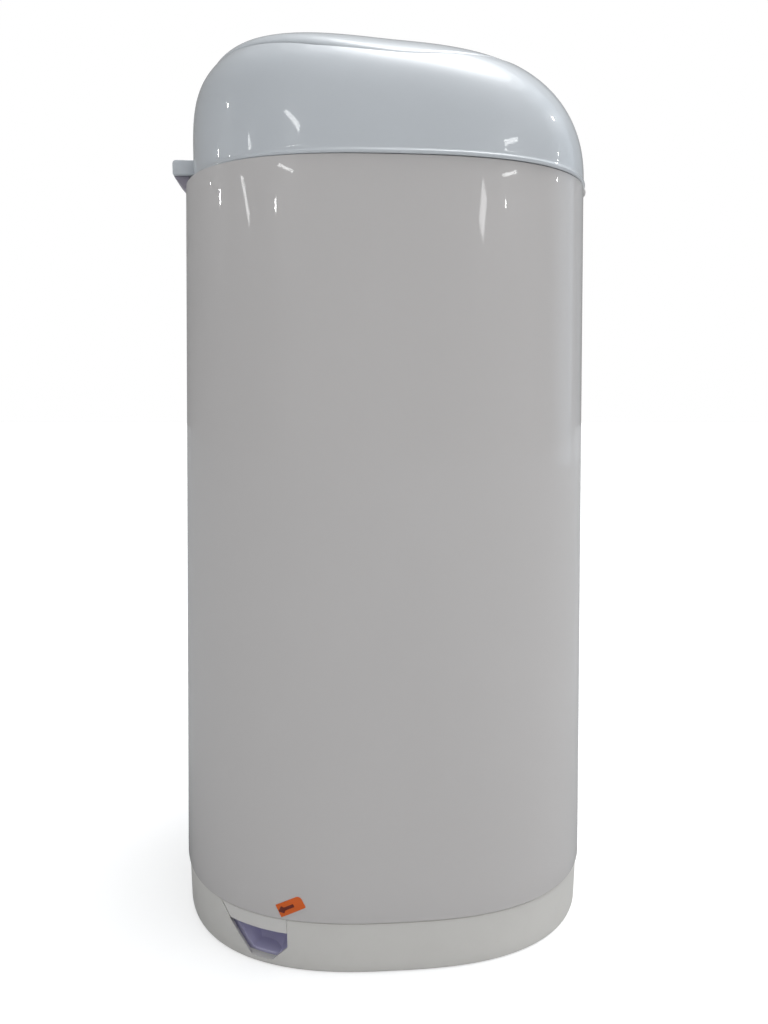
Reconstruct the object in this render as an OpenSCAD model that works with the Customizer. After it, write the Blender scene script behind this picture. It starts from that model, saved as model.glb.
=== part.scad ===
// Pedal nappy bin: a tapered squircle body on a low base, with a domed head hinged at the back.
// The pedal in the base's corner tips a lever, which lifts a rod, a plunger and the lid.
// Origin: centre of the body's plan on the floor. Front is -Y, back is +Y, up is +Z.

/* [Body] */
// Length of the body at its foot, front to back
body_len_foot = 291.5; // [260:0.5:330]
// Width of the body at its foot, side to side
body_wid_foot = 277; // [250:0.5:310]
// Length of the body at its top rim
body_len_top = 268.5; // [250:0.5:300]
// Width of the body at its top rim
body_wid_top = 255; // [240:0.5:290]
// Height of the body shell between base and head
body_h = 463; // [380:1:560]
// Squareness of the plan: 2 is an oval, higher is squarer
plan_power = 2.6; // [2.2:0.1:3.2]
// Wall of the body shell
body_wall = 2.5; // [2:0.1:3.5]
// Rounding of the body's lower edge
body_bead = 2; // [1.2:0.1:2.2]

/* [Base] */
// Height of the base, up to the body's lower edge
base_h = 34; // [30:0.5:45]
// How far the base stands back from the body at their seam
base_inset = 1.2; // [0.6:0.1:3]
// How much further the base draws in by the time it meets the floor
base_draft = 0.6; // [0:0.1:2]
// Wall of the base
base_wall = 3; // [2.4:0.1:4]
// Thickness of the base's floor
floor_t = 3; // [2.4:0.1:4]
// Height of the rim that stands up inside the body
spigot_h = 10; // [8:0.5:14]
// Thickness of the body's inner floor
inner_floor_t = 3; // [2:0.5:5]
// Diameter of each grip pad
pad_d = 24; // [16:1:30]
// Thickness of each grip pad
pad_t = 1.5; // [1:0.1:2]

/* [Pedal] */
// Where the pedal's middle sits on the plan, from +X round towards the front
pedal_turn = 32.6; // [30:0.1:35]
// Direction the pedal faces, from +X round towards the front
pedal_dir = 28.5; // [26:0.5:31]
// Height of the white band over the pedal's opening
band_h = 9.8; // [8:0.1:12]
// Distance from the opening's chord in to the pedal's axle
axle_in = 36; // [34:0.5:38]
// Height of the pedal's axle over the floor
axle_z = 11; // [10.5:0.5:12]
// Diameter of the pedal's axle
axle_d = 6; // [5:0.5:7]
// Thickness of the pedal's lever
lever_t = 4; // [3:0.5:5]
// Width of the pedal's lever
lever_w = 14; // [10:1:16]

/* [Head] */
// How far the head's front wall stands back from the body's front rim
head_front_in = 5.25; // [4:0.25:7]
// How far the head's back wall stands in from the body's back rim
head_back_in = 0.25; // [0:0.05:0.5]
// How far the head's sides stand out past the body's rim
head_over = 1.1; // [0.8:0.1:1.6]
// Height of the head's dome over the seam
dome_h = 81; // [72:0.5:95]
// Squareness of the dome's shoulder at the front
shoulder_front = 5; // [4:0.1:6]
// Squareness of the dome's shoulder at the back
shoulder_back = 2.4; // [2.2:0.05:3]
// Wall of the head shell
head_wall = 2.5; // [2:0.1:3]
// Gap between body and head
seam_gap = 0.5; // [0.4:0.1:1]

/* [Lid] */
// Distance from the head's front wall in to the lid
lid_front_in = 11.5; // [10:0.5:14]
// Distance from the head's back wall in to the lid
lid_back_in = 34; // [32:0.5:35]
// Distance from the head's side walls in to the lid
lid_side_in = 12.85; // [12.5:0.05:15]
// Squareness of the lid's plan
lid_power = 2.2; // [2.15:0.05:2.4]
// How far the lid stands proud of the dome at the front
lid_rise_front = 4.7; // [4:0.1:6]
// How far the lid sits under the dome at the back
lid_sink_back = 0.4; // [0:0.1:0.8]
// Distance behind the centre at which the lid starts to rise
rise_start = 4; // [0:1:10]
// Distance in front of the centre at which the lid has risen
rise_end = 98; // [90:1:105]
// Wall of the lid
lid_wall = 2.6; // [2:0.1:3.2]
// Gap in plan round the lid
lid_gap = 2.2; // [2.2:0.1:2.6]
// Height of the lid's edge at the front
lid_skirt = 3.7; // [3.2:0.1:4.2]
// How far the head's rim laps up past the lid's lower edge at the front
rim_lap = 0.5; // [0.2:0.1:0.8]
// Depth of the lid's seal
seal_h = 4.5; // [3:0.5:6]
// Distance from the lid's back edge in to its hinge
lid_hinge_in = 12; // [11.5:0.5:13]
// Height of the lid's hinge over the seam
lid_hinge_up = 62.5; // [60:0.5:62.5]
// Diameter of the lid's hinge pin
lid_pin_d = 3; // [2.5:0.1:3.2]
// Length of the crank that the plunger pushes
crank_len = 11; // [10.5:0.5:12]

/* [Throat] */
// Distance that the throat stands forward of the centre
throat_fwd = 12; // [11:1:14]
// Width of the refill cassette's ring
cassette_w = 22; // [18:1:24]
// Distance from the tray's hole in to the throat's tube
throat_in = 8; // [7:0.5:12]
// Gap between the refill cassette and the lid hinge's bracket
cassette_clear = 4; // [2:1:8]
// Height of the refill cassette
cassette_h = 30; // [24:1:34]
// Thickness of the tray
tray_t = 3; // [2.5:0.5:4]
// Thickness of each trap flap
flap_t = 2.5; // [2:0.5:3]

/* [Links and latch] */
// Diameter of the lift rod and the plunger
rod_d = 6; // [5:0.5:7]
// Distance of the rod, plunger and crank from the centre plane
link_x = 40; // [39:0.5:42]
// Distance from the body's back rim in to the lift rod
rod_in = 12.25; // [11.25:0.25:15]
// Radius of the head hinge's knuckles
knuckle_r = 4; // [3.5:0.1:4.5]
// Diameter of the head hinge's pin
head_pin_d = 3.6; // [3:0.1:4]
// Width of the head's front lip
lip_wid = 44; // [36:1:60]
// Reach of the front lip beyond the head's wall
lip_reach = 14; // [12:0.5:18]
// Height of the front lip
lip_h = 9.5; // [8:0.5:12]
// Travel of the latch button
latch_travel = 3; // [2:0.5:3]

/* [Hidden] */

segments = 96;          // sides of each squircle ring
fit_gap = 0.05;         // radial clearance of each pin in its bore
seat_gap = 0.05;        // clearance of a piece seated against a curved wall
part_gap = 0.3;         // clearance between pieces that move past each other
slack = 1;              // how far a cutting tool reaches past what it cuts
$fn = 64;

seam_z = base_h + body_h;
spigot_top = base_h + spigot_h;
inner_floor_top = spigot_top + inner_floor_t;

// --- plan and dome, as functions ---

function mix(a, b, t) = a + (b - a) * t;
function signed_pow(v, e) = sign(v) * pow(abs(v), e);
function unit_x(t) = signed_pow(cos(t), 2 / plan_power);
function unit_y(t) = signed_pow(sin(t), 2 / plan_power);
turns = [for (k = [0 : segments - 1]) 360 * k / segments];

// One squircle ring of points at height z
function ring(hx, hy, z, cy = 0) = [for (t = turns) [hx * unit_x(t), cy + hy * unit_y(t), z]];
function outline(hx, hy, cy = 0) = [for (t = turns) [hx * unit_x(t), cy + hy * unit_y(t)]];

// Half sizes of the body at height z
function body_hx(z) = mix(body_wid_foot, body_wid_top, (z - base_h) / body_h) / 2;
function body_hy(z) = mix(body_len_foot, body_len_top, (z - base_h) / body_h) / 2;
function body_ring(z, out = 0) = ring(body_hx(z) + out, body_hy(z) + out, z);

// The base draws in evenly from the seam down to the floor
function base_in(z) = base_inset + base_draft * (1 - z / base_h);
function base_ring(z, out = 0) =
    ring(body_wid_foot / 2 - base_in(z) + out, body_len_foot / 2 - base_in(z) + out, z);

head_front = body_len_top / 2 - head_front_in;
head_back = body_len_top / 2 - head_back_in;
head_hx = body_wid_top / 2 + head_over;
head_hy = (head_front + head_back) / 2;
head_cy = (head_back - head_front) / 2;

// The dome is a height over the plan. Its share g is 1 at the wall and 0 at the crown, and
// the shoulder's squareness runs from its front value to its back value with y
function shoulder(y) = mix(shoulder_front, shoulder_back, (y + head_front) / (2 * head_hy));
function plan_share(x, y, inward) =
    pow(pow(abs(x) / (head_hx - inward), plan_power) + pow(abs(y - head_cy) / (head_hy - inward), plan_power),
        1 / plan_power);
function dome_share(g, y) = pow(1 - pow(min(g, 1), shoulder(y)), 1 / shoulder(y));
function dome_z(x, y, inward = 0) =
    seam_z + seam_gap + (dome_h - seam_gap - inward) * dome_share(plan_share(x, y, inward), y);

// The lid has an outline of its own and stands prouder of the dome towards the front
lid_front = head_front - lid_front_in;
lid_back = head_back - lid_back_in;
lid_hx = head_hx - lid_side_in;
lid_hy = (lid_front + lid_back) / 2;
lid_hinge_y = lid_back - lid_hinge_in;
rod_y = body_len_top / 2 - rod_in;
post_front = 5;         // reach of the lid hinge's posts in front of its pin
cassette_r = lid_hinge_y - post_front - 1 + throat_fwd - cassette_clear;
tray_hole_r = cassette_r - cassette_w - 2;
throat_r = tray_hole_r - throat_in;
lid_cy = (lid_back - lid_front) / 2;
function lid_xy(s, t, out = 0) = [
    s * (lid_hx + out) * signed_pow(cos(t), 2 / lid_power),
    lid_cy + s * (lid_hy + out) * signed_pow(sin(t), 2 / lid_power)
];
function smooth(v) =
    let (u = min(1, max(0, v)))
    u * u * (3 - 2 * u);
function lid_rise(y) =
    mix(-lid_sink_back, lid_rise_front, smooth((rise_start - y) / (rise_start + rise_end)));
function edge_h(y) = mix(lid_wall, lid_skirt, max(0, lid_rise(y) / lid_rise_front));
function lid_point(s, t, drop) =
    let (p = lid_xy(s, t))
    [p[0], p[1], dome_z(p[0], p[1]) + lid_rise(p[1]) - drop];
function lid_edge_ring(s, share) =
    [for (t = turns) lid_point(s, t, share * edge_h(lid_xy(s, t)[1]))];
function lid_ring(s, drop = 0) = [for (t = turns) lid_point(s, t, drop)];

// Between its wall and its rim the head follows the dome, and its rim rises to meet the lid
rim_rise_power = 1.5;
function rim_rise(y) = max(0, lid_rise(y) - edge_h(y) + rim_lap);
function head_point(w, t, inward, out, drop) =
    let (
        wall = [(head_hx - inward) * unit_x(t), head_cy + (head_hy - inward) * unit_y(t)],
        p = mix(wall, lid_xy(1, t, out), w)
    )
    [p[0], p[1], dome_z(p[0], p[1], inward) + rim_rise(p[1]) * pow(w, rim_rise_power) - drop];
function head_ring(w, inward, out, drop = 0) = [for (t = turns) head_point(w, t, inward, out, drop)];

// Steps from a steep wall inward: close together at first
function step_in(f) = pow(sin(90 * f), 2.6);

// --- solids from rings ---

function wall_faces(rows, closed) = [
    for (r = [0 : rows - (closed ? 1 : 2)], k = [0 : segments - 1])
        let (a = r * segments, b = ((r + 1) % rows) * segments, n = (k + 1) % segments)
        each [[a + k, b + k, b + n], [a + k, b + n, a + n]]
];

// A solid through a stack of rings, lowest first, closed by flat caps
module stack(rings) {
    rows = len(rings);
    last = (rows - 1) * segments;
    polyhedron(
        points = [for (r = rings) each r],
        faces = concat(
            wall_faces(rows, false),
            [[for (k = [0 : segments - 1]) k]],
            [[for (k = [segments - 1 : -1 : 0]) last + k]]
        )
    );
}

// A hollow wall: rings go up the outside and come down the inside
module shell(rings) {
    polyhedron(points = [for (r = rings) each r], faces = wall_faces(len(rings), true));
}

// --- base and pedal ---

edge_steps = 4;
base_edge = 2;
base_top_out = -body_wall - part_gap + base_inset;

module base_cup() {
    stack(concat(
        [for (k = [0 : edge_steps])
            let (a = 90 * k / edge_steps)
            base_ring(base_edge * (1 - cos(a)), base_edge * (sin(a) - 1))],
        [base_ring(base_h), base_ring(base_h, base_top_out)],
        [[for (p = base_ring(base_h, base_top_out)) [p[0], p[1], spigot_top]]],
        [[for (p = base_ring(base_h, base_top_out - base_wall)) [p[0], p[1], spigot_top]]],
        [base_ring(base_h, base_top_out - base_wall)],
        [base_ring(base_h - base_wall, -base_wall), base_ring(floor_t, -base_wall)]
    ));
}

// Space inside the base, drawn in by gap
module base_inside(gap) {
    stack([base_ring(0, -base_wall - gap), base_ring(base_h, -base_wall - gap)]);
}

// The pedal's own frame: x runs along the opening's chord, y runs inward, z is up
chord_in = 2.5;
pedal_at = [
    (body_wid_foot / 2 - base_inset) * unit_x(pedal_turn) - chord_in * cos(pedal_dir),
    -(body_len_foot / 2 - base_inset) * unit_y(pedal_turn) + chord_in * sin(pedal_dir)
];
pedal_angle = 90 - pedal_dir;
module in_pedal_frame() {
    translate([pedal_at[0], pedal_at[1], 0])
        rotate([0, 0, pedal_angle])
            children();
}
function to_pedal_frame(p) =
    let (d = p - pedal_at)
    [d[0] * cos(pedal_angle) + d[1] * sin(pedal_angle), d[1] * cos(pedal_angle) - d[0] * sin(pedal_angle)];

// The opening is a keystone with one long and one short slant, seen from outside
opening_right = 21.7;
opening_low = 4;
slant_top = [-29.5, base_h];
slant_foot = [-4.3, opening_low];
toe_corner = [11, opening_low];
short_slant_top = [opening_right, 14.8];
opening_depth = 12;

// Extrudes a shape seen from outside the pedal, inward by depth from start
module inward(depth, start = 0) {
    translate([0, start + depth, 0])
        rotate([90, 0, 0])
            linear_extrude(depth)
                children();
}

module opening_shape() {
    polygon([slant_top, slant_foot, toe_corner, short_slant_top, [opening_right, base_h],
        [opening_right, base_h + slack], [slant_top[0] - slack, base_h + slack]]);
}

// The fourth pad and the fourth post stand clear of the pedal, at the front
pad_in = 56;
pad_x = body_wid_foot / 2 - pad_in;
pad_y = body_len_foot / 2 - pad_in;
front_pad = [22, 24];
pad_spots = [[-pad_x, -pad_y], [-pad_x, pad_y], [pad_x, pad_y],
    [front_pad[0], front_pad[1] - body_len_foot / 2]];
post_in = [53.5, 60.75];
post_x = body_wid_foot / 2 - post_in[0];
post_y = body_len_foot / 2 - post_in[1];
front_post = [58, 37.75];
post_spots = [[-post_x, -post_y], [-post_x, post_y], [post_x, post_y],
    [front_post[0], front_post[1] - body_len_foot / 2]];
post_d = 10;
screw_d = 3;
screw_head_d = 8;
screw_head_h = 2;
screw_len = 14;

// The floor is open under the moving pedal
cup_left = -26;
cup_right = 24;
cup_back = axle_in + 6;
cup_low = 4;
cup_top = 28;
cup_room = 1.8;
floor_hole_margin = 2;
floor_hole_rim = base_wall + 0.5;

module base() {
    color("#b3b2ae")
        difference() {
            union() {
                base_cup();
                for (p = post_spots)
                    translate([p[0], p[1], floor_t - slack])
                        cylinder(d = post_d, h = spigot_top - floor_t + slack);
            }
            in_pedal_frame() {
                inward(opening_depth, -opening_depth / 2)
                    opening_shape();
            }
            intersection() {
                in_pedal_frame()
                    translate([cup_left - floor_hole_margin, -opening_depth, -slack])
                        cube([cup_right - cup_left + 2 * floor_hole_margin, cup_back + opening_depth + 3,
                            floor_t + 2 * slack]);
                translate([0, 0, -slack])
                    linear_extrude(floor_t + 2 * slack)
                        polygon(outline(body_wid_foot / 2 - base_in(0) - floor_hole_rim,
                            body_len_foot / 2 - base_in(0) - floor_hole_rim));
            }
            for (p = pad_spots)
                translate([p[0], p[1], -slack])
                    cylinder(d = pad_d, h = pad_t + slack);
            for (p = post_spots)
                translate([p[0], p[1], spigot_top - screw_len])
                    cylinder(d = screw_d + 2 * fit_gap, h = screw_len + slack);
        }
}

module grip_pads() {
    color("#5a5a5c")
        for (p = pad_spots)
            translate([p[0], p[1], 0])
                cylinder(d = pad_d, h = pad_t);
}

// The white band closes the top of the keystone, level with the base's skin
band_gap = 0.25;
module pedal_surround() {
    band_low = base_h - band_h;
    slant = (slant_foot[0] - slant_top[0]) / (slant_top[1] - slant_foot[1]);
    left_at_top = slant_top[0] + band_gap * 2;
    color("#b4b4b4")
        intersection() {
            difference() {
                stack([base_ring(0), base_ring(base_h)]);
                stack([base_ring(-slack, -base_wall), base_ring(base_h + slack, -base_wall)]);
            }
            in_pedal_frame()
                inward(opening_depth, -opening_depth / 2)
                    polygon([[left_at_top, base_h], [left_at_top + slant * band_h, band_low],
                        [opening_right - band_gap, band_low], [opening_right - band_gap, base_h]]);
        }
}

// The violet cup: a block behind the opening with a ramp scooped out for the toe
ramp_angle = 36;
ramp_r = 24;
ramp_centre_z = 25.4;
ramp_reach = 60;
ledge_z = 6.2;
scoop = [[-25, 27], [-5.6, ledge_z], [12.5, ledge_z], [22.6, 15], [22.6, 27]];
scoop_depth = 39;
axle_len = 65;

module pedal_cup() {
    color("#6d6a86")
        difference() {
            intersection() {
                in_pedal_frame()
                    translate([cup_left, 0, cup_low])
                        cube([cup_right - cup_left, cup_back, cup_top - cup_low]);
                base_inside(cup_room);
            }
            in_pedal_frame() {
                intersection() {
                    inward(scoop_depth)
                        polygon(scoop);
                    translate([0, 0, ramp_centre_z])
                        rotate([ramp_angle - 90, 0, 0])
                            cylinder(r = ramp_r, h = 2 * ramp_reach, center = true);
                }
                translate([0, axle_in, axle_z])
                    rotate([0, 90, 0])
                        cylinder(d = axle_d + 2 * fit_gap, h = axle_len, center = true);
            }
        }
}

// The lever runs from the cup's back face to the rod's foot
lever_low = 12;
lever_end = to_pedal_frame([link_x, rod_y]);
module pedal_lever() {
    color("#9a9ca0")
        in_pedal_frame()
            translate([0, 0, lever_low])
                linear_extrude(lever_t)
                    hull() {
                        translate([-lever_w / 2, cup_back])
                            square([lever_w, lever_w / 2]);
                        translate(lever_end)
                            circle(d = lever_w + 2);
                    }
}

module pedal_axle() {
    color("#8d9094")
        in_pedal_frame()
            translate([0, axle_in, axle_z])
                rotate([0, 90, 0])
                    cylinder(d = axle_d, h = axle_len, center = true);
}

bracket_t = 5;
bracket_rim = 4;
module axle_brackets() {
    bracket_w = axle_d + 2 * bracket_rim;
    bracket_h = axle_z + bracket_w / 2 - floor_t;
    color("#a9a8a4")
        in_pedal_frame()
            for (x = [cup_left - floor_hole_margin - bracket_t, cup_right + floor_hole_margin])
                difference() {
                    translate([x, axle_in - bracket_w / 2, floor_t])
                        cube([bracket_t, bracket_w, bracket_h]);
                    translate([0, axle_in, axle_z])
                        rotate([0, 90, 0])
                            cylinder(d = axle_d + fit_gap, h = 2 * axle_len, center = true);
                }
}

// --- body ---

rim_steps = 4;
hinge_y = head_back - 2.2;
hinge_z = seam_z + 2;
hinge_half = 36;
notch_half = hinge_half + 2.5;
knuckle_gap = 0.4;
body_knuckle_half = 12;

module hinge_notch() {
    reach = knuckle_r + seam_gap;
    translate([-notch_half, hinge_y - reach - slack, hinge_z - reach])
        cube([2 * notch_half, 4 * reach, 2 * reach]);
}

module body_shell() {
    color("#c4c4c6")
        difference() {
            shell(concat(
                [for (k = [0 : rim_steps])
                    let (a = 90 * k / rim_steps)
                    body_ring(base_h + body_bead * (1 - cos(a)), body_bead * (sin(a) - 1))],
                [body_ring(seam_z - slack), body_ring(seam_z, -slack)],
                [body_ring(seam_z, -body_wall), body_ring(base_h, -body_wall)]
            ));
            hinge_notch();
        }
}

// Space inside the body shell, drawn in by gap
module body_inside(gap) {
    stack([body_ring(base_h, -body_wall - gap), body_ring(seam_z, -body_wall - gap)]);
}

rod_hole = rod_d + 1;
module body_floor() {
    z = spigot_top;
    color("#b9b8b5")
        difference() {
            translate([0, 0, z])
                linear_extrude(inner_floor_t)
                    polygon(outline(body_hx(inner_floor_top) - body_wall - part_gap,
                        body_hy(inner_floor_top) - body_wall - part_gap));
            for (p = post_spots)
                translate([p[0], p[1], z - slack])
                    cylinder(d = screw_d + 2 * fit_gap, h = inner_floor_t + 2 * slack);
            translate([link_x, rod_y, z - slack])
                cylinder(d = rod_hole, h = inner_floor_t + 2 * slack);
        }
}

module screw(head_d, shank_d, length) {
    cylinder(d = head_d, h = screw_head_h);
    translate([0, 0, -length])
        cylinder(d = shank_d, h = length);
}

module floor_screws() {
    color("#8d9094")
        for (p = post_spots)
            translate([p[0], p[1], inner_floor_top])
                screw(screw_head_d, screw_d, inner_floor_t + screw_len - slack);
}

// --- lift rod and its guides ---

rod_low = lever_low + lever_t + part_gap;
rod_foot_h = 3;
rod_foot_d = 10;
arm_t = 6;
arm_top = seam_z - 9;
crank_y = lid_hinge_y - crank_len;
module lift_rod() {
    color("#a4a7ab") {
        translate([link_x, rod_y, rod_low])
            cylinder(d = rod_foot_d, h = rod_foot_h);
        translate([link_x, rod_y, rod_low + rod_foot_h / 2])
            cylinder(d = rod_d, h = arm_top - arm_t / 2 - rod_low - rod_foot_h / 2);
        translate([link_x - arm_t / 2, crank_y - arm_t / 2, arm_top - arm_t])
            cube([arm_t, rod_y - crank_y + arm_t, arm_t]);
    }
}

guide_w = 16;
guide_h = 12;
guide_levels = [base_h + 0.12 * body_h, base_h + 0.48 * body_h, base_h + 0.84 * body_h];
module rod_guides() {
    color("#b9b8b5")
        for (z = guide_levels)
            difference() {
                intersection() {
                    translate([link_x - guide_w / 2, rod_y - guide_w / 2, z])
                        cube([guide_w, body_len_foot / 2, guide_h]);
                    body_inside(seat_gap);
                }
                translate([link_x, rod_y, z - slack])
                    cylinder(d = rod_d + 2 * fit_gap, h = guide_h + 2 * slack);
            }
}

// --- arrow label beside the pedal ---

label_turn = 21.5;
label_z = base_h + 10.5;
label_at = [body_hx(label_z) * unit_x(label_turn), -body_hy(label_z) * unit_y(label_turn), label_z];
label_angle = 74;
label_tilt = 28;
label_len = 18;
label_h = 8.5;
label_t = 0.4;
label_corner = 3;

module on_body_skin(start, thickness) {
    depth = 20;
    intersection() {
        difference() {
            stack([body_ring(base_h, start + thickness), body_ring(base_h + body_h / 4, start + thickness)]);
            stack([body_ring(base_h - slack, start), body_ring(base_h + body_h / 4 + slack, start)]);
        }
        translate(label_at)
            rotate([0, 0, label_angle])
                rotate([90, 0, 0])
                    translate([0, 0, -depth / 2])
                        linear_extrude(depth)
                            rotate(label_tilt)
                                children();
    }
}

module arrow_label() {
    color("#be5123")
        on_body_skin(seat_gap, label_t)
            union() {
                square([label_len - 2 * label_corner, label_h], center = true);
                translate([-label_len / 2, -label_h / 2])
                    square([label_corner + slack, label_h]);
                translate([label_len / 2 - label_corner - slack, -label_h / 2])
                    square([label_corner + slack, label_h - label_corner]);
                translate([label_len / 2 - label_corner, label_h / 2 - label_corner])
                    circle(r = label_corner);
            }
}

module arrow_mark() {
    shaft_len = 8;
    shaft_h = 2;
    tip = 3.4;
    color("#2a1c18")
        on_body_skin(2 * seat_gap + label_t, label_t / 2)
            translate([-1.5, 0])
                polygon([
                    [-shaft_len / 2 - tip, 0], [-shaft_len / 2, -tip * 0.8],
                    [-shaft_len / 2, -shaft_h / 2], [shaft_len / 2, -shaft_h / 2],
                    [shaft_len / 2, shaft_h / 2], [-shaft_len / 2, shaft_h / 2],
                    [-shaft_len / 2, tip * 0.8]
                ]);
}

// --- head hinge, at the back of the seam ---

module along_x(d, from, to, y, z) {
    translate([from, y, z])
        rotate([0, 90, 0])
            cylinder(d = d, h = to - from);
}

leaf_t = 2.8;
module body_hinge_leaf() {
    leaf_back = body_hy(seam_z) - body_wall - 0.6;
    color("#9a9ca0")
        difference() {
            union() {
                along_x(2 * knuckle_r, -body_knuckle_half, body_knuckle_half, hinge_y, hinge_z);
                translate([-body_knuckle_half, leaf_back - leaf_t, seam_z - 27])
                    cube([2 * body_knuckle_half, leaf_t, 27 + hinge_z - seam_z]);
            }
            along_x(head_pin_d + 2 * fit_gap, -hinge_half, hinge_half, hinge_y, hinge_z);
        }
}

module head_hinge_pin() {
    color("#8d9094")
        along_x(head_pin_d, -hinge_half, hinge_half, hinge_y, hinge_z);
}

head_leaf_back = hinge_y - 3.8;
leaf_h = 16;
head_leaf_top = seam_z + leaf_h;
module head_hinge_leaf() {
    color("#a4a7ab")
        for (side = [-1, 1]) {
            from = side < 0 ? -hinge_half : body_knuckle_half + knuckle_gap;
            to = side < 0 ? -body_knuckle_half - knuckle_gap : hinge_half;
            difference() {
                union() {
                    along_x(2 * knuckle_r, from, to, hinge_y, hinge_z);
                    translate([from, head_leaf_back - leaf_t, hinge_z])
                        cube([to - from, leaf_t, head_leaf_top - hinge_z]);
                    translate([from, head_leaf_back - leaf_t, hinge_z])
                        cube([to - from, leaf_t + knuckle_r, knuckle_r / 2]);
                }
                along_x(head_pin_d + 2 * fit_gap, -2 * hinge_half, 2 * hinge_half, hinge_y, hinge_z);
            }
        }
}

// --- head ---

head_rings = 9;
rim_drop = 3.2;
frame_low = seam_z + 11;
frame_t = 6;
frame_w = 9;
tray_low = frame_low - tray_t;
stem_w = 10;
stem_low = seam_z + 3;
stem_h = 4;

module head_shell() {
    inner_rim = lid_gap + 0.6 * head_wall;
    color("#dfe3e8")
        difference() {
            shell(concat(
                [ring(head_hx, head_hy, seam_z + seam_gap, head_cy)],
                [for (k = [1 : head_rings]) head_ring(step_in(k / head_rings), 0, lid_gap)],
                [head_ring(1, 0, lid_gap, rim_drop)],
                [for (k = [head_rings : -1 : 1]) head_ring(step_in(k / head_rings), head_wall, inner_rim)],
                [ring(head_hx - head_wall, head_hy - head_wall, seam_z + seam_gap, head_cy)]
            ));
            hinge_notch();
            translate([-stem_w / 2 - part_gap * 2, -head_front - slack, stem_low - part_gap * 2])
                cube([stem_w + part_gap * 4, head_wall * 4, stem_h + part_gap * 4]);
        }
}

// Plan of the space inside the head's wall, drawn in by gap; the dome leans in towards the back
back_lean = 2.6;
module head_plan(gap, hinge_cut = true) {
    difference() {
        polygon(outline(head_hx - head_wall - gap, head_hy - head_wall - gap - back_lean / 2,
            head_cy - back_lean / 2));
        if (hinge_cut)
            translate([-notch_half, head_leaf_back - leaf_t - part_gap])
                square([2 * notch_half, head_hy]);
    }
}

lug_in = [40.6, 37, 42];
lug_x = head_hx - lug_in[0];
lug_front = lug_in[1] - head_front;
lug_back = head_back - lug_in[2];
lug_spots = [[-lug_x, lug_front], [lug_x, lug_front], [-lug_x, lug_back], [lug_x, lug_back]];
tray_screw_d = 3;
tray_screw_len = 8;
module head_frame() {
    color("#c9ccd0")
        translate([0, 0, frame_low])
            difference() {
                linear_extrude(frame_t)
                    difference() {
                        union() {
                            difference() {
                                head_plan(seat_gap + 0.3);
                                head_plan(frame_w);
                            }
                            intersection() {
                                head_plan(seat_gap + 0.3);
                                for (p = lug_spots)
                                    translate(p)
                                        circle(d = 14);
                            }
                        }
                    }
                for (p = lug_spots)
                    translate([p[0], p[1], -slack])
                        cylinder(d = tray_screw_d + 2 * fit_gap, h = tray_screw_len);
            }
}

plunger_boss_h = 8;
module head_tray() {
    color("#d3d6da")
        difference() {
            union() {
                translate([0, 0, tray_low])
                    linear_extrude(tray_t)
                        head_plan(seat_gap + 0.3);
                translate([link_x, crank_y, tray_low])
                    cylinder(d = rod_d + 5, h = tray_t + plunger_boss_h);
            }
            translate([0, -throat_fwd, tray_low - slack])
                cylinder(r = tray_hole_r, h = tray_t + 2 * slack);
            translate([link_x, crank_y, tray_low - slack])
                cylinder(d = rod_d + 2 * fit_gap, h = tray_t + plunger_boss_h + 2 * slack);
            for (p = lug_spots)
                translate([p[0], p[1], tray_low - slack])
                    cylinder(d = tray_screw_d + 2 * fit_gap, h = tray_t + 2 * slack);
        }
}

module tray_screws() {
    color("#8d9094")
        for (p = lug_spots)
            translate([p[0], p[1], tray_low])
                mirror([0, 0, 1])
                    screw(screw_head_d - 1, tray_screw_d, tray_t + frame_t - slack);
}

// --- front lip and latch ---

lip_low = seam_z + 11;
lip_round = 2.5;
module front_lip() {
    front = -head_front - lip_reach;
    color("#d3d6da")
        difference() {
            translate([-lip_wid / 2, 0, 0])
                rotate([90, 0, 90])
                    linear_extrude(lip_wid)
                        union() {
                            translate([front, lip_low])
                                square([lip_reach + 8, lip_h - lip_round]);
                            translate([front + lip_round, lip_low])
                                square([lip_reach + 8 - lip_round, lip_h]);
                            translate([front + lip_round, lip_low + lip_h - lip_round])
                                circle(r = lip_round);
                        }
            stack([ring(head_hx + seat_gap, head_hy + seat_gap, seam_z, head_cy),
                ring(head_hx + seat_gap, head_hy + seat_gap, seam_z + 30, head_cy)]);
        }
}

wedge_wid = 36;
wedge_low = seam_z + 2.4;
wedge_top = lip_low - part_gap;
wedge_back = -head_front - latch_travel - 2 * part_gap;
hook_y = -head_front + 7;
hook_t = 3;
hook_low = seam_z - 16;
tooth_h = 4.5;
tooth_reach = 3;
module latch_button() {
    color("#6f6b73") {
        translate([-wedge_wid / 2, 0, 0])
            rotate([90, 0, 90])
                linear_extrude(wedge_wid)
                    polygon([[wedge_back, wedge_top], [-head_front - lip_reach + part_gap, wedge_top],
                        [wedge_back - 3, wedge_low], [wedge_back, wedge_low]]);
        translate([-stem_w / 2, wedge_back - slack, stem_low])
            cube([stem_w, hook_y - wedge_back + hook_t + slack, stem_h]);
        translate([-stem_w / 2, hook_y, hook_low])
            cube([stem_w, hook_t, stem_low - hook_low + stem_h / 2]);
        translate([-stem_w / 2, hook_y - tooth_reach, hook_low])
            cube([stem_w, tooth_reach + hook_t / 2, tooth_h]);
    }
}

keeper_h = 5;
module latch_keeper() {
    keeper_face = hook_y - tooth_reach - 1.2;
    color("#b9b8b5")
        intersection() {
            translate([-stem_w, keeper_face - 20, hook_low + tooth_h + part_gap])
                cube([2 * stem_w, 20, keeper_h]);
            body_inside(seat_gap);
        }
}

// --- cassette, funnel and flaps, round the throat ---

module at_throat() {
    translate([0, -throat_fwd, 0])
        children();
}

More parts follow.
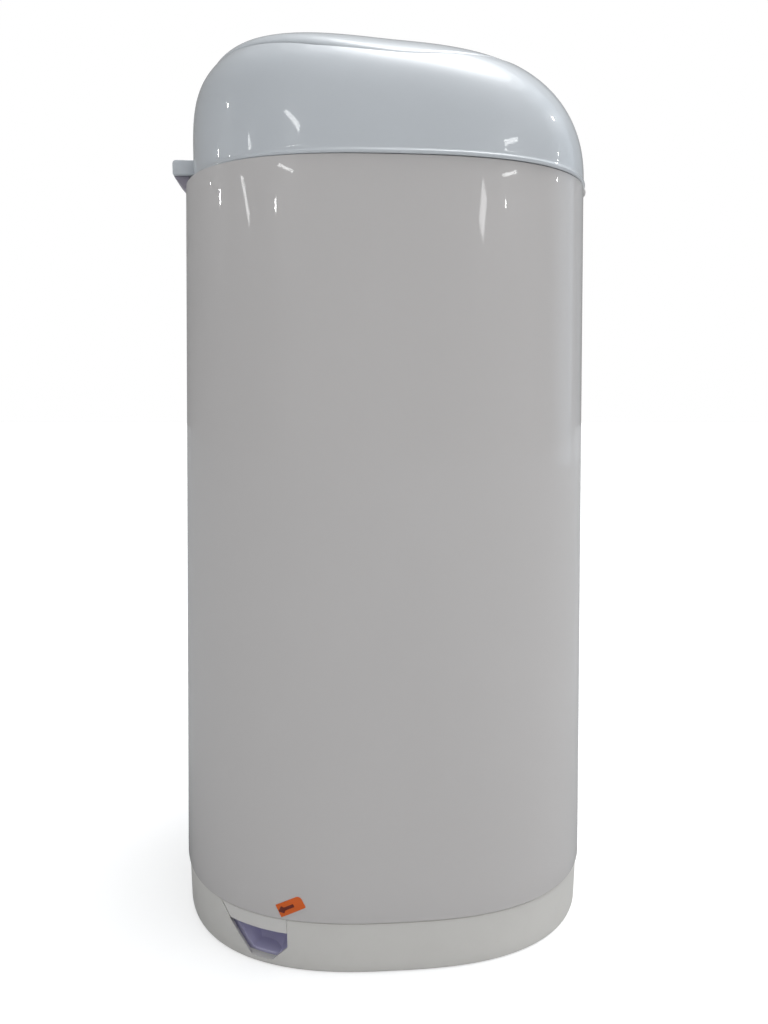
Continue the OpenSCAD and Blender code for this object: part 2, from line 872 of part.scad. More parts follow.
tub_wall = 2;
tub_inner = tray_hole_r + 2;
cassette_low = frame_low;
module cassette_tub() {
    color("#8fb3c9")
        at_throat()
            translate([0, 0, cassette_low])
                rotate_extrude()
                    difference() {
                        translate([tub_inner, 0])
                            square([cassette_r - tub_inner, cassette_h]);
                        translate([tub_inner + tub_wall, tub_wall])
                            square([cassette_r - tub_inner - 2 * tub_wall, cassette_h]);
                    }
}

film_gap = 0.3;
module cassette_film() {
    color("#e8eef0")
        at_throat()
            translate([0, 0, cassette_low + tub_wall])
                rotate_extrude()
                    translate([tub_inner + tub_wall + film_gap, 0])
                        square([cassette_r - tub_inner - 2 * (tub_wall + film_gap), cassette_h - tub_wall - 5]);
}

funnel_wall = 2.5;
funnel_low = seam_z + 2;
funnel_rim_z = cassette_low + cassette_h;
module throat_funnel() {
    lip = cassette_r + 2;
    color("#e3e6ea")
        at_throat()
            rotate_extrude()
                polygon([
                    [throat_r, funnel_low], [throat_r + funnel_wall, funnel_low],
                    [throat_r + funnel_wall, funnel_rim_z - 4], [tub_inner, funnel_rim_z],
                    [lip, funnel_rim_z], [lip, funnel_rim_z + funnel_wall],
                    [tub_inner - 1, funnel_rim_z + funnel_wall], [throat_r, funnel_rim_z - 2.5]
                ]);
}

flap_frame_r = tray_hole_r + 4;
flap_frame_wall = 5;
flap_frame_h = 21;
flap_frame_low = tray_low - flap_frame_h;
flap_pin_x = throat_r + 4;
flap_pin_d = 3;
flap_pin_z = flap_frame_low + 5;
flap_r = throat_r + 1;
barrel_r = 3;
barrel_half = 14;
ear_from = 21;
ear_to = 27;

module flap_frame() {
    color("#c9ccd0")
        at_throat()
            difference() {
                union() {
                    translate([0, 0, flap_frame_low])
                        difference() {
                            cylinder(r = flap_frame_r + flap_frame_wall, h = flap_frame_h);
                            translate([0, 0, -slack])
                                cylinder(r = flap_frame_r, h = flap_frame_h + 2 * slack);
                        }
                    for (sx = [-1, 1], sy = [-1, 1])
                        translate([sx > 0 ? flap_pin_x - 4 : -flap_frame_r, sy > 0 ? ear_from : -ear_to,
                            flap_frame_low])
                            cube([flap_frame_r - flap_pin_x + 4, ear_to - ear_from, 10]);
                }
                for (sx = [-1, 1])
                    translate([sx * flap_pin_x, 0, flap_pin_z])
                        rotate([90, 0, 0])
                            cylinder(d = flap_pin_d + fit_gap, h = 2 * ear_to + 2 * slack, center = true);
            }
}

module flap_pins() {
    color("#8d9094")
        at_throat()
            for (sx = [-1, 1])
                translate([sx * flap_pin_x, 0, flap_pin_z])
                    rotate([90, 0, 0])
                        cylinder(d = flap_pin_d, h = 2 * ear_to, center = true);
}

module flap_springs() {
    color("#a4a7ab")
        at_throat()
            for (sx = [-1, 1], sy = [-1, 1])
                translate([sx * flap_pin_x, sy * (barrel_half + ear_from) / 2, flap_pin_z])
                    rotate([90, 0, 0])
                        difference() {
                            cylinder(d = flap_pin_d + 2.4, h = ear_from - barrel_half - 2 * part_gap,
                                center = true);
                            cylinder(d = flap_pin_d + 0.6, h = 2 * ear_from, center = true);
                        }
}

// One half disc with its hinge barrel; side is -1 on the left, 1 on the right
module trap_flap(side) {
    at_throat()
        difference() {
            union() {
                translate([0, 0, flap_pin_z - flap_t / 2])
                    linear_extrude(flap_t)
                        intersection() {
                            circle(r = flap_r);
                            translate([side > 0 ? part_gap : -2 * flap_r, -flap_r])
                                square([2 * flap_r - part_gap, 2 * flap_r]);
                        }
                translate([side > 0 ? flap_r - 6 : -flap_pin_x, -barrel_half, flap_pin_z - flap_t / 2])
                    cube([flap_pin_x - flap_r + 6, 2 * barrel_half, flap_t]);
                translate([side * flap_pin_x, 0, flap_pin_z])
                    rotate([90, 0, 0])
                        cylinder(r = barrel_r, h = 2 * barrel_half, center = true);
            }
            translate([side * flap_pin_x, 0, flap_pin_z])
                rotate([90, 0, 0])
                    cylinder(d = flap_pin_d + 2 * fit_gap, h = 4 * barrel_half, center = true);
        }
}

module trap_flap_left() {
    color("#d3d6da")
        trap_flap(-1);
}

module trap_flap_right() {
    color("#d3d6da")
        trap_flap(1);
}

// --- plunger, lid hinge and lid ---

lid_hinge_z = seam_z + lid_hinge_up;
lid_knuckle_r = 3.4;
roller_r = 3;
crank_t = 2.4;
plunger_pad_h = 3;
plunger_top = lid_hinge_z - roller_r - part_gap;
pad_w = 7;
module plunger() {
    plunger_low = arm_top + part_gap;
    color("#a4a7ab") {
        translate([link_x, crank_y, plunger_low])
            cylinder(d = rod_d, h = plunger_top - plunger_pad_h / 2 - plunger_low);
        translate([link_x - pad_w / 2, crank_y - rod_d / 2, plunger_top - plunger_pad_h])
            cube([pad_w, rod_d + 2, plunger_pad_h]);
    }
}

arm_from = link_x - 4.5;
arm_to = link_x + 4.5;
post_to = arm_from - 0.5;
post_from = post_to - 8;
module lid_hinge_bracket() {
    color("#c9ccd0")
        difference() {
            union() {
                translate([-post_to, lid_hinge_y - post_front - 1, frame_low])
                    cube([2 * post_to, post_front + 11, tray_t]);
                for (x = [-post_to, post_from]) {
                    translate([x, lid_hinge_y - post_front, frame_low])
                        cube([post_to - post_from, post_front + 0.5, lid_hinge_z - frame_low]);
                    along_x(2 * lid_knuckle_r, x, x + post_to - post_from, lid_hinge_y, lid_hinge_z);
                }
            }
            along_x(lid_pin_d + 2 * fit_gap, -2 * arm_to, 2 * arm_to, lid_hinge_y, lid_hinge_z);
        }
}

module lid_hinge_pin() {
    color("#8d9094")
        along_x(lid_pin_d, -arm_to, arm_to, lid_hinge_y, lid_hinge_z);
}

lid_rings = 11;
function lid_step(k) = pow(cos(88 * k / lid_rings), 0.9);

edge_round = 0.8;
module lid_shell() {
    shares = [for (k = [1 : lid_rings]) lid_step(k)];
    color("#e6ebf1")
        stack(concat(
            [for (k = [lid_rings - 1 : -1 : 1]) lid_ring(shares[k], lid_wall)],
            [lid_edge_ring(shares[0], 1)],
            [for (k = [0 : edge_steps])
                let (a = 90 * k / edge_steps)
                lid_edge_ring(1 - edge_round * (1 - cos(a)) / lid_hx, 1 - sin(a))],
            [for (s = shares) lid_ring(s)]
        ));
}

// Everything under the lid's inner face, for trimming what is fixed to it
module under_lid(extra) {
    stack(concat(
        [[for (p = lid_ring(1)) [p[0], p[1], seam_z]]],
        [for (k = [0 : lid_rings]) lid_ring(lid_step(k), lid_wall + extra)]
    ));
}

// The seal runs round the front and sides, and stops short of the hinge
seal_back = crank_y - roller_r - 2;
seal_top = lid_wall + 2 * seat_gap;
module lid_seal() {
    outer = lid_step(2);
    inner = lid_step(3);
    color("#8c8f96")
        difference() {
            shell([
                lid_ring(outer, seal_top + seal_h), lid_ring(outer, seal_top),
                lid_ring(inner, seal_top), lid_ring(inner, seal_top + seal_h)
            ]);
            translate([-lid_hx, seal_back, seam_z])
                cube([2 * lid_hx, 2 * lid_hy, 2 * dome_h]);
        }
}

module lid_hinge_arms() {
    color("#d3d6da")
        intersection() {
            difference() {
                union() {
                    for (x = [-arm_to, arm_from]) {
                        along_x(2 * lid_knuckle_r, x, x + arm_to - arm_from, lid_hinge_y, lid_hinge_z);
                        translate([x, crank_y - roller_r, lid_hinge_z])
                            cube([arm_to - arm_from, crank_len + roller_r + 1, 20]);
                    }
                    translate([arm_from, crank_y, lid_hinge_z - crank_t / 2])
                        cube([arm_to - arm_from, crank_len, crank_t]);
                    along_x(2 * roller_r, arm_from, arm_to, crank_y, lid_hinge_z);
                }
                along_x(lid_pin_d + 2 * fit_gap, -2 * arm_to, 2 * arm_to, lid_hinge_y, lid_hinge_z);
            }
            under_lid(seat_gap);
        }
}

base();
grip_pads();
pedal_surround();
pedal_cup();
pedal_lever();
pedal_axle();
axle_brackets();
body_shell();
body_floor();
floor_screws();
lift_rod();
rod_guides();
arrow_label();
arrow_mark();
body_hinge_leaf();
head_hinge_pin();
head_hinge_leaf();
latch_keeper();
head_shell();
head_frame();
head_tray();
tray_screws();
front_lip();
latch_button();
cassette_tub();
cassette_film();
throat_funnel();
flap_frame();
flap_pins();
flap_springs();
trap_flap_left();
trap_flap_right();
plunger();
lid_hinge_bracket();
lid_hinge_pin();
lid_shell();
lid_seal();
lid_hinge_arms();
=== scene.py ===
import math

import bmesh
import bpy
import numpy as np
from mathutils import Matrix, Vector


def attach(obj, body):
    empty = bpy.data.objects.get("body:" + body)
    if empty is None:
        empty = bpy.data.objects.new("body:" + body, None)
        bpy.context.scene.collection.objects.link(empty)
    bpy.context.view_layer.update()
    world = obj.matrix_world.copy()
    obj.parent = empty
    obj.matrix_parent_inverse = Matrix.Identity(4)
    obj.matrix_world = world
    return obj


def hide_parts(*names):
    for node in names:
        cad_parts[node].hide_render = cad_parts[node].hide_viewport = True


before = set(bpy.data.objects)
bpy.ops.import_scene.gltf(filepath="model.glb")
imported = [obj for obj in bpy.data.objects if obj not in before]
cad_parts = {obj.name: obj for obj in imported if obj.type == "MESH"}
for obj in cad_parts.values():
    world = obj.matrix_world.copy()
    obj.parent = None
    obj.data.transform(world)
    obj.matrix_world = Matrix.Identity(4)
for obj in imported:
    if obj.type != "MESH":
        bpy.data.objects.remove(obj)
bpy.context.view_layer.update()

MM = 0.001

# Camera: where it stands, in metres, and how it is turned, in degrees
CAMERA_AT = (0.6269, -0.0500, 0.3650)
CAMERA_HEADING, CAMERA_DIP, CAMERA_ROLL = 85.2967, 8.1206, 0.1727
CAMERA_LENS = 29.883

# Body, base, head and lid, in millimetres: HX and HY are half sizes along X and Y, and CY is a centre.
# All are the CAD's values but RIM_LAP, which is 0.4 more here, and LID_SETTLE, which is only here and
# keeps the lid's finer top under the CAD's
FOOT_HX, FOOT_HY = 138.5, 145.75
RIM_HX, RIM_HY = 127.5, 134.25
BASE_H, SEAM_Z, SPIGOT_TOP = 34.0, 497.0, 44.0
BODY_WALL, BODY_BEAD = 2.5, 2.0
BASE_INSET, BASE_DRAFT, BASE_WALL = 1.2, 0.6, 3.0
PLAN_POWER = 2.6
HEAD_HX, HEAD_HY, HEAD_CY, HEAD_WALL = 128.6, 131.5, 2.5, 2.5
HEAD_FRONT = 129.0
DOME_Z, DOME_H = 497.5, 80.5
SHOULDER_FRONT, SHOULDER_BACK = 5.0, 2.4
LID_HX, LID_HY, LID_CY, LID_POWER = 115.75, 108.75, -8.75, 2.2
RISE_FRONT, SINK_BACK, RISE_START, RISE_END = 4.7, 0.4, 4.0, 98.0
LID_WALL, LID_SKIRT, LID_GAP, RIM_LAP, RIM_DROP = 2.6, 3.7, 2.2, 0.9, 3.2
LID_SETTLE = 0.1
SEAL_BACK = 72.0

# Pedal's own frame, which lies along the keystone opening, and the throat's centre in plan
PEDAL_DIR = math.radians(28.5)
PEDAL_AT = np.array([118.1396, -88.6339])
ALONG = np.array([math.sin(PEDAL_DIR), math.cos(PEDAL_DIR)])
INWARD = np.array([-math.cos(PEDAL_DIR), math.sin(PEDAL_DIR)])
THROAT = (0.0, -12.0)

# Points round each ring, and the radius at which a turned solid's centre stays open
ROUND = 384
CENTRE_R = 0.02

turns = np.arange(ROUND) * 2 * math.pi / ROUND


# --- meshes from grids of points ---

def add_mesh(name, points, faces):
    """A new object whose mesh has these points, in millimetres, and faces."""
    mesh = bpy.data.meshes.new(name)
    mesh.from_pydata((np.asarray(points) * MM).tolist(), [], [tuple(f) for f in faces])
    mesh.validate()
    obj = bpy.data.objects.new(name, mesh)
    bpy.context.scene.collection.objects.link(obj)
    return obj


def grid_faces(rows, cols, loop_rows):
    """Quads between neighbouring rows and columns; columns always close on themselves."""
    last = rows if loop_rows else rows - 1
    r, k = np.meshgrid(np.arange(last), np.arange(cols), indexing="ij")
    up, n = (r + 1) % rows, (k + 1) % cols
    return np.stack([r * cols + k, r * cols + n, up * cols + n, up * cols + k], -1).reshape(-1, 4).tolist()


def rings_to_object(name, rings, ends="poles"):
    """Joins rings of points into a closed surface: each ring goes anticlockwise seen from where the
    rings are heading. ends is "poles" for a centre point at each end, or "loop" to meet again."""
    rings = np.asarray(rings, float)
    rows, cols = rings.shape[:2]
    points = rings.reshape(-1, 3)
    faces = grid_faces(rows, cols, ends == "loop")
    if ends == "poles":
        points = np.vstack([points, rings[0].mean(0), rings[-1].mean(0)])
        k = np.arange(cols)
        n = (k + 1) % cols
        low, high, top = rows * cols, rows * cols + 1, (rows - 1) * cols
        faces += np.stack([n, k, np.full(cols, low)], -1).tolist()
        faces += np.stack([top + k, top + n, np.full(cols, high)], -1).tolist()
    return add_mesh(name, points, faces)


def finish_piece(obj, body, material, nodes=(), sharp=35):
    """Smooth shading with edges sharper than an angle kept, then the piece's body and material."""
    mesh = obj.data
    mesh.polygons.foreach_set("use_smooth", np.ones(len(mesh.polygons), bool))
    mesh.set_sharp_from_angle(angle=math.radians(sharp))
    mesh.materials.clear()
    mesh.materials.append(material)
    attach(obj, body)
    if nodes:
        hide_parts(*nodes)
    return obj


def bake_modifiers(obj):
    """Replaces an object's mesh by what its modifiers make of it."""
    bpy.context.view_layer.update()
    made = bpy.data.meshes.new_from_object(obj.evaluated_get(bpy.context.evaluated_depsgraph_get()))
    obj.modifiers.clear()
    obj.data = made


def round_edges(obj, width, steps, hard):
    """Rounds each edge that turns by more than the hard angle."""
    bevel = obj.modifiers.new("edges", "BEVEL")
    bevel.width, bevel.segments = width * MM, steps
    bevel.limit_method, bevel.angle_limit = "ANGLE", hard
    bake_modifiers(obj)


def carve(obj, cutter):
    """Cuts a closed cutter out of an object, and removes the cutter."""
    cut = obj.modifiers.new("carve", "BOOLEAN")
    cut.object = cutter
    cut.operation = "DIFFERENCE"
    cut.solver = "EXACT"
    bake_modifiers(obj)
    bpy.data.objects.remove(cutter)


def block(low, high):
    """A plain box between two corners, for cutting with."""
    around = ((low[0], low[1]), (high[0], low[1]), (high[0], high[1]), (low[0], high[1]))
    corners = np.array([[x, y, z] for z in (low[2], high[2]) for x, y in around], float)
    faces = [(3, 2, 1, 0), (4, 5, 6, 7), (0, 1, 5, 4), (1, 2, 6, 5), (2, 3, 7, 6), (3, 0, 4, 7)]
    return add_mesh("cutter", corners, faces)


def prism(outline, sweep_low, sweep_high):
    """A cutter: an outline of points moved from one offset to another; it runs anticlockwise
    seen against the sweep."""
    outline = np.asarray(outline, float)
    n = len(outline)
    points = np.vstack([outline + sweep_low, outline + sweep_high])
    k = np.arange(n)
    sides = np.stack([k, (k + 1) % n, (k + 1) % n + n, k + n], -1).tolist()
    return add_mesh("cutter", points, sides + [list(range(n - 1, -1, -1)), list(range(n, 2 * n))])


# --- the bin's own shapes ---

def squircle():
    """Unit squircle at every turn: the radius is (|cos|^p + |sin|^p)^(-1/p)."""
    c, s = np.cos(turns), np.sin(turns)
    r = (np.abs(c) ** PLAN_POWER + np.abs(s) ** PLAN_POWER) ** (-1 / PLAN_POWER)
    return r * c, r * s


def squircle_sum(x, y, hx, hy):
    """(|x| / hx)^p + (|y| / hy)^p, which is 1 on the squircle and more outside it."""
    return (np.abs(x) / hx) ** PLAN_POWER + (np.abs(y) / hy) ** PLAN_POWER


def ring(hx, hy, z, cy=0.0):
    """Squircle ring with half sizes hx and hy at height z."""
    x, y = squircle()
    return np.stack([hx * x, cy + hy * y, np.broadcast_to(z, x.shape).astype(float)], -1)


def body_half_sizes(z, out):
    """The body tapers in a straight line from its foot to its rim."""
    f = (z - BASE_H) / (SEAM_Z - BASE_H)
    return FOOT_HX + (RIM_HX - FOOT_HX) * f + out, FOOT_HY + (RIM_HY - FOOT_HY) * f + out


def base_half_sizes(z, out):
    """The base draws in evenly from the seam down to the floor."""
    inset = BASE_INSET + BASE_DRAFT * (1 - z / BASE_H)
    return FOOT_HX - inset + out, FOOT_HY - inset + out


def body_ring(z, out=0.0):
    return ring(*body_half_sizes(z, out), z)


def base_ring(z, out=0.0):
    return ring(*base_half_sizes(z, out), z)


def shoulder(y):
    """Power of the dome's section, which falls evenly from front to back."""
    return SHOULDER_FRONT + (SHOULDER_BACK - SHOULDER_FRONT) * (y + HEAD_FRONT) / (2 * HEAD_HY)


def dome_height(x, y, inward=0.0):
    """Height of the dome over a plan point. The point's share g of the wall's squircle is 1 at the
    wall, and the height is (1 - g^p)^(1/p) of the dome's."""
    g = ((np.abs(x) / (HEAD_HX - inward)) ** PLAN_POWER
         + (np.abs(y - HEAD_CY) / (HEAD_HY - inward)) ** PLAN_POWER) ** (1 / PLAN_POWER)
    p = shoulder(y)
    return DOME_Z + (DOME_H - inward) * np.clip(1 - np.minimum(g, 1.0) ** p, 0, 1) ** (1 / p)


def lid_rise(y):
    """How far the lid stands over the dome: v^2 (3 - 2v) from a little under it to proud at the front."""
    v = np.clip((RISE_START - y) / (RISE_START + RISE_END), 0, 1)
    return -SINK_BACK + (RISE_FRONT + SINK_BACK) * v * v * (3 - 2 * v)


def edge_height(y):
    """Height of the lid's edge, which is deeper where the lid stands proud."""
    return LID_WALL + (LID_SKIRT - LID_WALL) * np.maximum(0, lid_rise(y) / RISE_FRONT)


def lid_plan(share, out=0.0):
    """Superellipse like the lid's outline: x is |cos|^(2/p) and y is |sin|^(2/p), each with its sign."""
    c, s = np.cos(turns), np.sin(turns)
    x = share * (LID_HX + out) * np.sign(c) * np.abs(c) ** (2 / LID_POWER)
    y = share * (LID_HY + out) * np.sign(s) * np.abs(s) ** (2 / LID_POWER)
    return x, LID_CY + y


def lid_ring(share, drop=0.0, edges=0.0, out=0.0):
    """Ring at a share of the lid's outline: on its top, or under it by a drop and a share of its edge."""
    x, y = lid_plan(share, out)
    top = dome_height(x, y) + lid_rise(y) - LID_SETTLE
    return np.stack([x, y, top - drop - edges * edge_height(y)], -1)


def cover_ring(w, inward=0.0, out=0.0, drop=0.0):
    """Ring of the head cover: w runs from 0 at the wall to 1 at the lid's outline, and the plan point
    moves straight from one to the other while the cover rises to meet the lid."""
    x0, y0 = squircle()
    x0, y0 = (HEAD_HX - inward) * x0, HEAD_CY + (HEAD_HY - inward) * y0
    x1, y1 = lid_plan(1.0, out)
    x, y = x0 + (x1 - x0) * w, y0 + (y1 - y0) * w
    rise = np.maximum(0, lid_rise(y) - edge_height(y) + RIM_LAP) * w ** 1.5
    return np.stack([x, y, dome_height(x, y, inward) + rise - drop], -1)


def cover_rows(steps, inward, out):
    """Rows from the wall to the lid, w = sin(f)^(0.9 p), which climb the wall in even steps."""
    p = shoulder(HEAD_CY + HEAD_HY * squircle()[1])
    return [cover_ring(np.sin(f) ** (0.9 * p), inward, out) for f in arc(steps)]


def arc(n):
    """Angles in even steps over a quarter turn."""
    return np.linspace(0, math.pi / 2, n)


def pedal_point(s, d, z):
    """From the pedal's own frame: s along the opening, d inward, z up."""
    s, d, z = np.broadcast_arrays(np.asarray(s, float), d, z)
    xy = PEDAL_AT + s[..., None] * ALONG + d[..., None] * INWARD
    return np.concatenate([xy, z[..., None]], -1)


def pedal_outline(outline):
    """An outline given as along and up, stood in the pedal's own frame."""
    outline = np.array(outline, float)
    return pedal_point(outline[:, 0], 0.0, outline[:, 1])


def meet_skin(points, direction, half_x, half_y):
    """Moves points along an outward direction until they lie on the squircle with these half sizes,
    found by halving the range of the move again and again."""
    reach, halvings = 30.0, 40
    direction = np.append(direction, 0.0)
    low, high = np.full(points.shape[:-1], -reach), np.full(points.shape[:-1], reach)
    for _ in range(halvings):
        mid = (low + high) / 2
        q = points + mid[..., None] * direction
        outside = squircle_sum(q[..., 0], q[..., 1], half_x, half_y) > 1
        high = np.where(outside, mid, high)
        low = np.where(outside, low, mid)
    return points + high[..., None] * direction


def lathe(name, profile, centre=(0.0, 0.0), steps=192):
    """Turns a profile of radius and height pairs about an upright axis: up the outside, down the inside."""
    profile = np.asarray(profile, float)
    t = np.arange(steps) * 2 * math.pi / steps
    rings = np.stack([centre[0] + profile[:, :1] * np.cos(t), centre[1] + profile[:, :1] * np.sin(t),
                      np.repeat(profile[:, 1:], steps, 1)], -1)
    return rings_to_object(name, rings, "loop")


def soft_profile(corners, radius, steps=5):
    """Closed outline with each corner turned into an arc that touches both its sides. A corner with no
    radius, or one that is almost straight, stays."""
    straight = 1.5
    corners = np.asarray(corners, float)
    radius = np.broadcast_to(radius, len(corners))
    out = []
    for i, p in enumerate(corners):
        a, b = corners[i - 1] - p, corners[(i + 1) % len(corners)] - p
        a, b = a / np.linalg.norm(a), b / np.linalg.norm(b)
        half = math.acos(np.clip(a @ b, -1, 1)) / 2
        if half > straight or radius[i] == 0:
            out.append(p[None])
            continue
        centre = p + (a + b) / np.linalg.norm(a + b) * radius[i] / math.sin(half)
        start = p + a * radius[i] / math.tan(half) - centre
        stop = p + b * radius[i] / math.tan(half) - centre
        turn = math.acos(np.clip(start @ stop / radius[i] ** 2, -1, 1))
        f = np.linspace(0, 1, steps)[:, None]
        out.append(centre + (np.sin((1 - f) * turn) * start + np.sin(f * turn) * stop) / math.sin(turn))
    return np.vstack(out)


def join_into(obj, others):
    """Adds other objects' meshes to one object, and removes them."""
    whole = bmesh.new()
    for o in [obj] + others:
        whole.from_mesh(o.data)
    whole.to_mesh(obj.data)
    whole.free()
    for o in others:
        bpy.data.objects.remove(o)


def softened(node, name, width, body, slot, material):
    """A moulded or machined piece: a merged copy of its CAD node with every hard edge rounded."""
    same_point, flat, hard = 1e-6, math.radians(0.5), math.radians(32)
    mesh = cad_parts[node].data.copy()
    obj = bpy.data.objects.new(name, mesh)
    bpy.context.scene.collection.objects.link(obj)
    made = bmesh.new()
    made.from_mesh(mesh)
    bmesh.ops.remove_doubles(made, verts=made.verts, dist=same_point)
    bmesh.ops.dissolve_limit(made, angle_limit=flat, verts=made.verts, edges=made.edges)
    made.to_mesh(mesh)
    made.free()
    round_edges(obj, width, 2, hard)
    return finish_piece(obj, body, material, [node], sharp=40)


# --- finishes: noise scales are in waves a metre, and depths and heights in metres ---

IOR, COAT_ROUGH = 1.5, 0.03
GRAIN_DEPTH, RIPPLE_DEPTH = 0.00004, 0.0012
DUST_TOP = 0.07


class Finish:
    """A procedural material: a Principled shader with small helpers for its node tree."""

    def __init__(self, name, metal=0.0, coat=0.0):
        self.material = bpy.data.materials.new(name)
        self.material.use_nodes = True
        self.tree = self.material.node_tree
        self.shader = self.tree.nodes["Principled BSDF"]
        self.shader.inputs["Metallic"].default_value = metal
        self.shader.inputs["Coat Weight"].default_value = coat
        self.shader.inputs["Coat Roughness"].default_value = COAT_ROUGH
        self.shader.inputs["IOR"].default_value = IOR
        self.place = self.node("ShaderNodeTexCoord").outputs["Object"]

    def node(self, kind, **inputs):
        """A new node whose named inputs are linked to sockets or set to values."""
        made = self.tree.nodes.new(kind)
        for key, value in inputs.items():
            self.link(value, made.inputs[key])
        return made

    def link(self, value, socket):
        if isinstance(value, bpy.types.NodeSocket):
            self.tree.links.new(value, socket)
        else:
            socket.default_value = value

    def noise(self, scale, detail=3.0, stretch=(1, 1, 1), rough=0.5):
        """Noise at a scale, squeezed along the axes by stretch."""
        spread = self.node("ShaderNodeMapping", Vector=self.place, Scale=stretch)
        return self.node("ShaderNodeTexNoise", Vector=spread.outputs["Vector"], Scale=scale,
                         Detail=detail, Roughness=rough).outputs["Fac"]

    def remap(self, value, low, high, to_low, to_high):
        """Moves a value from one range to another, and holds it there."""
        made = self.node("ShaderNodeMapRange")
        self.link(value, made.inputs[0])
        for i, number in enumerate((low, high, to_low, to_high)):
            made.inputs[i + 1].default_value = number
        return made.outputs[0]

    def blend(self, factor, a, b):
        """Colour that goes from a to b as the factor goes from 0 to 1."""
        made = self.node("ShaderNodeMix")
        made.data_type = "RGBA"
        self.link(factor, made.inputs["Factor"])
        self.link(a, made.inputs[6])
        self.link(b, made.inputs[7])
        return made.outputs[2]

    def math(self, operation, a, b):
        made = self.node("ShaderNodeMath")
        made.operation = operation
        self.link(a, made.inputs[0])
        self.link(b, made.inputs[1])
        return made.outputs[0]

    def height(self):
        return self.node("ShaderNodeSeparateXYZ", Vector=self.place).outputs["Z"]

    def bump(self, heights):
        """Chains bumps, each a height socket, its strength and its depth."""
        previous = None
        for value, strength, depth in heights:
            made = self.node("ShaderNodeBump", Height=value, Strength=strength, Distance=depth)
            if previous is not None:
                self.link(previous, made.inputs["Normal"])
            previous = made.outputs["Normal"]
        self.link(previous, self.shader.inputs["Normal"])

    def colour(self, value):
        self.link(value, self.shader.inputs["Base Color"])

    def roughness(self, value):
        self.link(value, self.shader.inputs["Roughness"])


def srgb(r, g, b):
    """Linear colour from screen values of 0 to 255."""
    v = np.array([r, g, b]) / 255
    v = np.where(v <= 0.04045, v / 12.92, ((v + 0.055) / 1.055) ** 2.4)
    return (*v.tolist(), 1.0)


def shade(colour, times, plus=0.0):
    """A colour made darker or lighter, and opaque."""
    return tuple(min(1, c * times + plus) for c in colour[:3]) + (1.0,)


def moulded_plastic(name, colour, rough, grain, ripple=0.0, coat=0.0, dust=0.0, mottle=0.03, wear=0.2):
    """Moulded plastic: faint cloudiness, fine surface grain, slow mould ripple, rubbed patches of
    changing gloss, and a little dust that gathers towards the floor."""
    f = Finish(name, coat=coat)
    dark, light = shade(colour, 1 - mottle * 2), shade(colour, 1 + mottle)
    tone = f.blend(f.remap(f.noise(9, 4), 0.15, 0.85, 0, 1), dark, light)
    if dust:
        low = f.remap(f.height(), 0.0, DUST_TOP, 1, 0)
        patch = f.remap(f.noise(55, 6, rough=0.65), 0.45, 0.75, 0, dust)
        tone = f.blend(f.math("MULTIPLY", low, patch), tone, srgb(150, 144, 134))
    f.colour(tone)
    rubbed = f.noise(24, 5, stretch=(1, 1, 0.35), rough=0.6)
    f.roughness(f.remap(rubbed, 0.1, 0.9, rough * (1 - wear * 1.4), rough * (1 + wear * 2)))
    bumps = [(f.noise(grain, 2), 0.25, GRAIN_DEPTH)]
    if ripple:
        bumps.append((f.noise(17, 1, stretch=(1, 1, 0.3)), ripple, RIPPLE_DEPTH))
    f.bump(bumps)
    return f.material


def drawn_steel(name, colour, rough=0.3, along=(1, 1, 0.04)):
    """Steel drawn or rolled lengthwise: fine streaks, uneven gloss and a few dull spots."""
    f = Finish(name, metal=1.0)
    streaks = f.noise(1600, 3, stretch=along)
    spots = f.noise(60, 5, rough=0.7)
    f.colour(f.blend(f.remap(spots, 0.55, 0.8, 0, 0.7), colour, shade(colour, 0.72)))
    f.roughness(f.math("ADD", f.remap(streaks, 0.3, 0.7, rough - 0.07, rough + 0.08),
                       f.remap(spots, 0.5, 0.8, 0, 0.15)))
    f.bump([(streaks, 0.15, 0.00003), (spots, 0.1, 0.00008)])
    return f.material


def moulded_rubber(name, colour):
    """Rubber with a close pebbled skin and a greyish bloom."""
    f = Finish(name)
    pebble = f.node("ShaderNodeTexVoronoi", Vector=f.place, Scale=900.0).outputs["Distance"]
    bloom = f.noise(70, 5, rough=0.65)
    f.colour(f.blend(f.remap(bloom, 0.45, 0.8, 0, 0.5), colour, shade(colour, 1.6, 0.02)))
    f.roughness(f.remap(bloom, 0.3, 0.7, 0.62, 0.85))
    f.bump([(pebble, 0.4, 0.0002), (f.noise(2600, 2), 0.2, 0.00005)])
    return f.material


def folded_film(name, colour):
    """Thin cloudy film lying in folds: creases, painted shade that darkens their hollows in patches, and a
    slippery gloss.
    """
    f = Finish(name)
    crease = f.noise(260, 5, stretch=(1, 1, 4), rough=0.7)
    # Painted shade: the film's colour is darker where the crease bump is low, in the creases' hollows
    f.colour(f.blend(f.remap(crease, 0.35, 0.65, 0, 1), shade(colour, 0.8), colour))
    f.roughness(f.remap(crease, 0.3, 0.7, 0.18, 0.38))
    f.shader.inputs["Subsurface Weight"].default_value = 0.25
    f.shader.inputs["Subsurface Radius"].default_value = (0.004, 0.004, 0.004)
    f.bump([(crease, 0.5, 0.0006)])
    return f.material


def printed_label(name, colour):
    """Vinyl label: even ink with a fine screen, scuffed a little along its length."""
    f, rough = Finish(name), 0.5
    scuff = f.noise(420, 5, stretch=(1, 0.4, 1), rough=0.7)
    screen = f.noise(3800, 1)
    rubbed = f.math("MULTIPLY", f.remap(scuff, 0.5, 0.75, 0, 1), f.remap(screen, 0.3, 0.7, 0.4, 1))
    f.colour(f.blend(rubbed, colour, shade(colour, 0.8, 0.04)))
    f.roughness(f.remap(scuff, 0.3, 0.7, rough, rough + 0.2))
    f.bump([(screen, 0.15, 0.00003), (scuff, 0.2, 0.00005)])
    return f.material


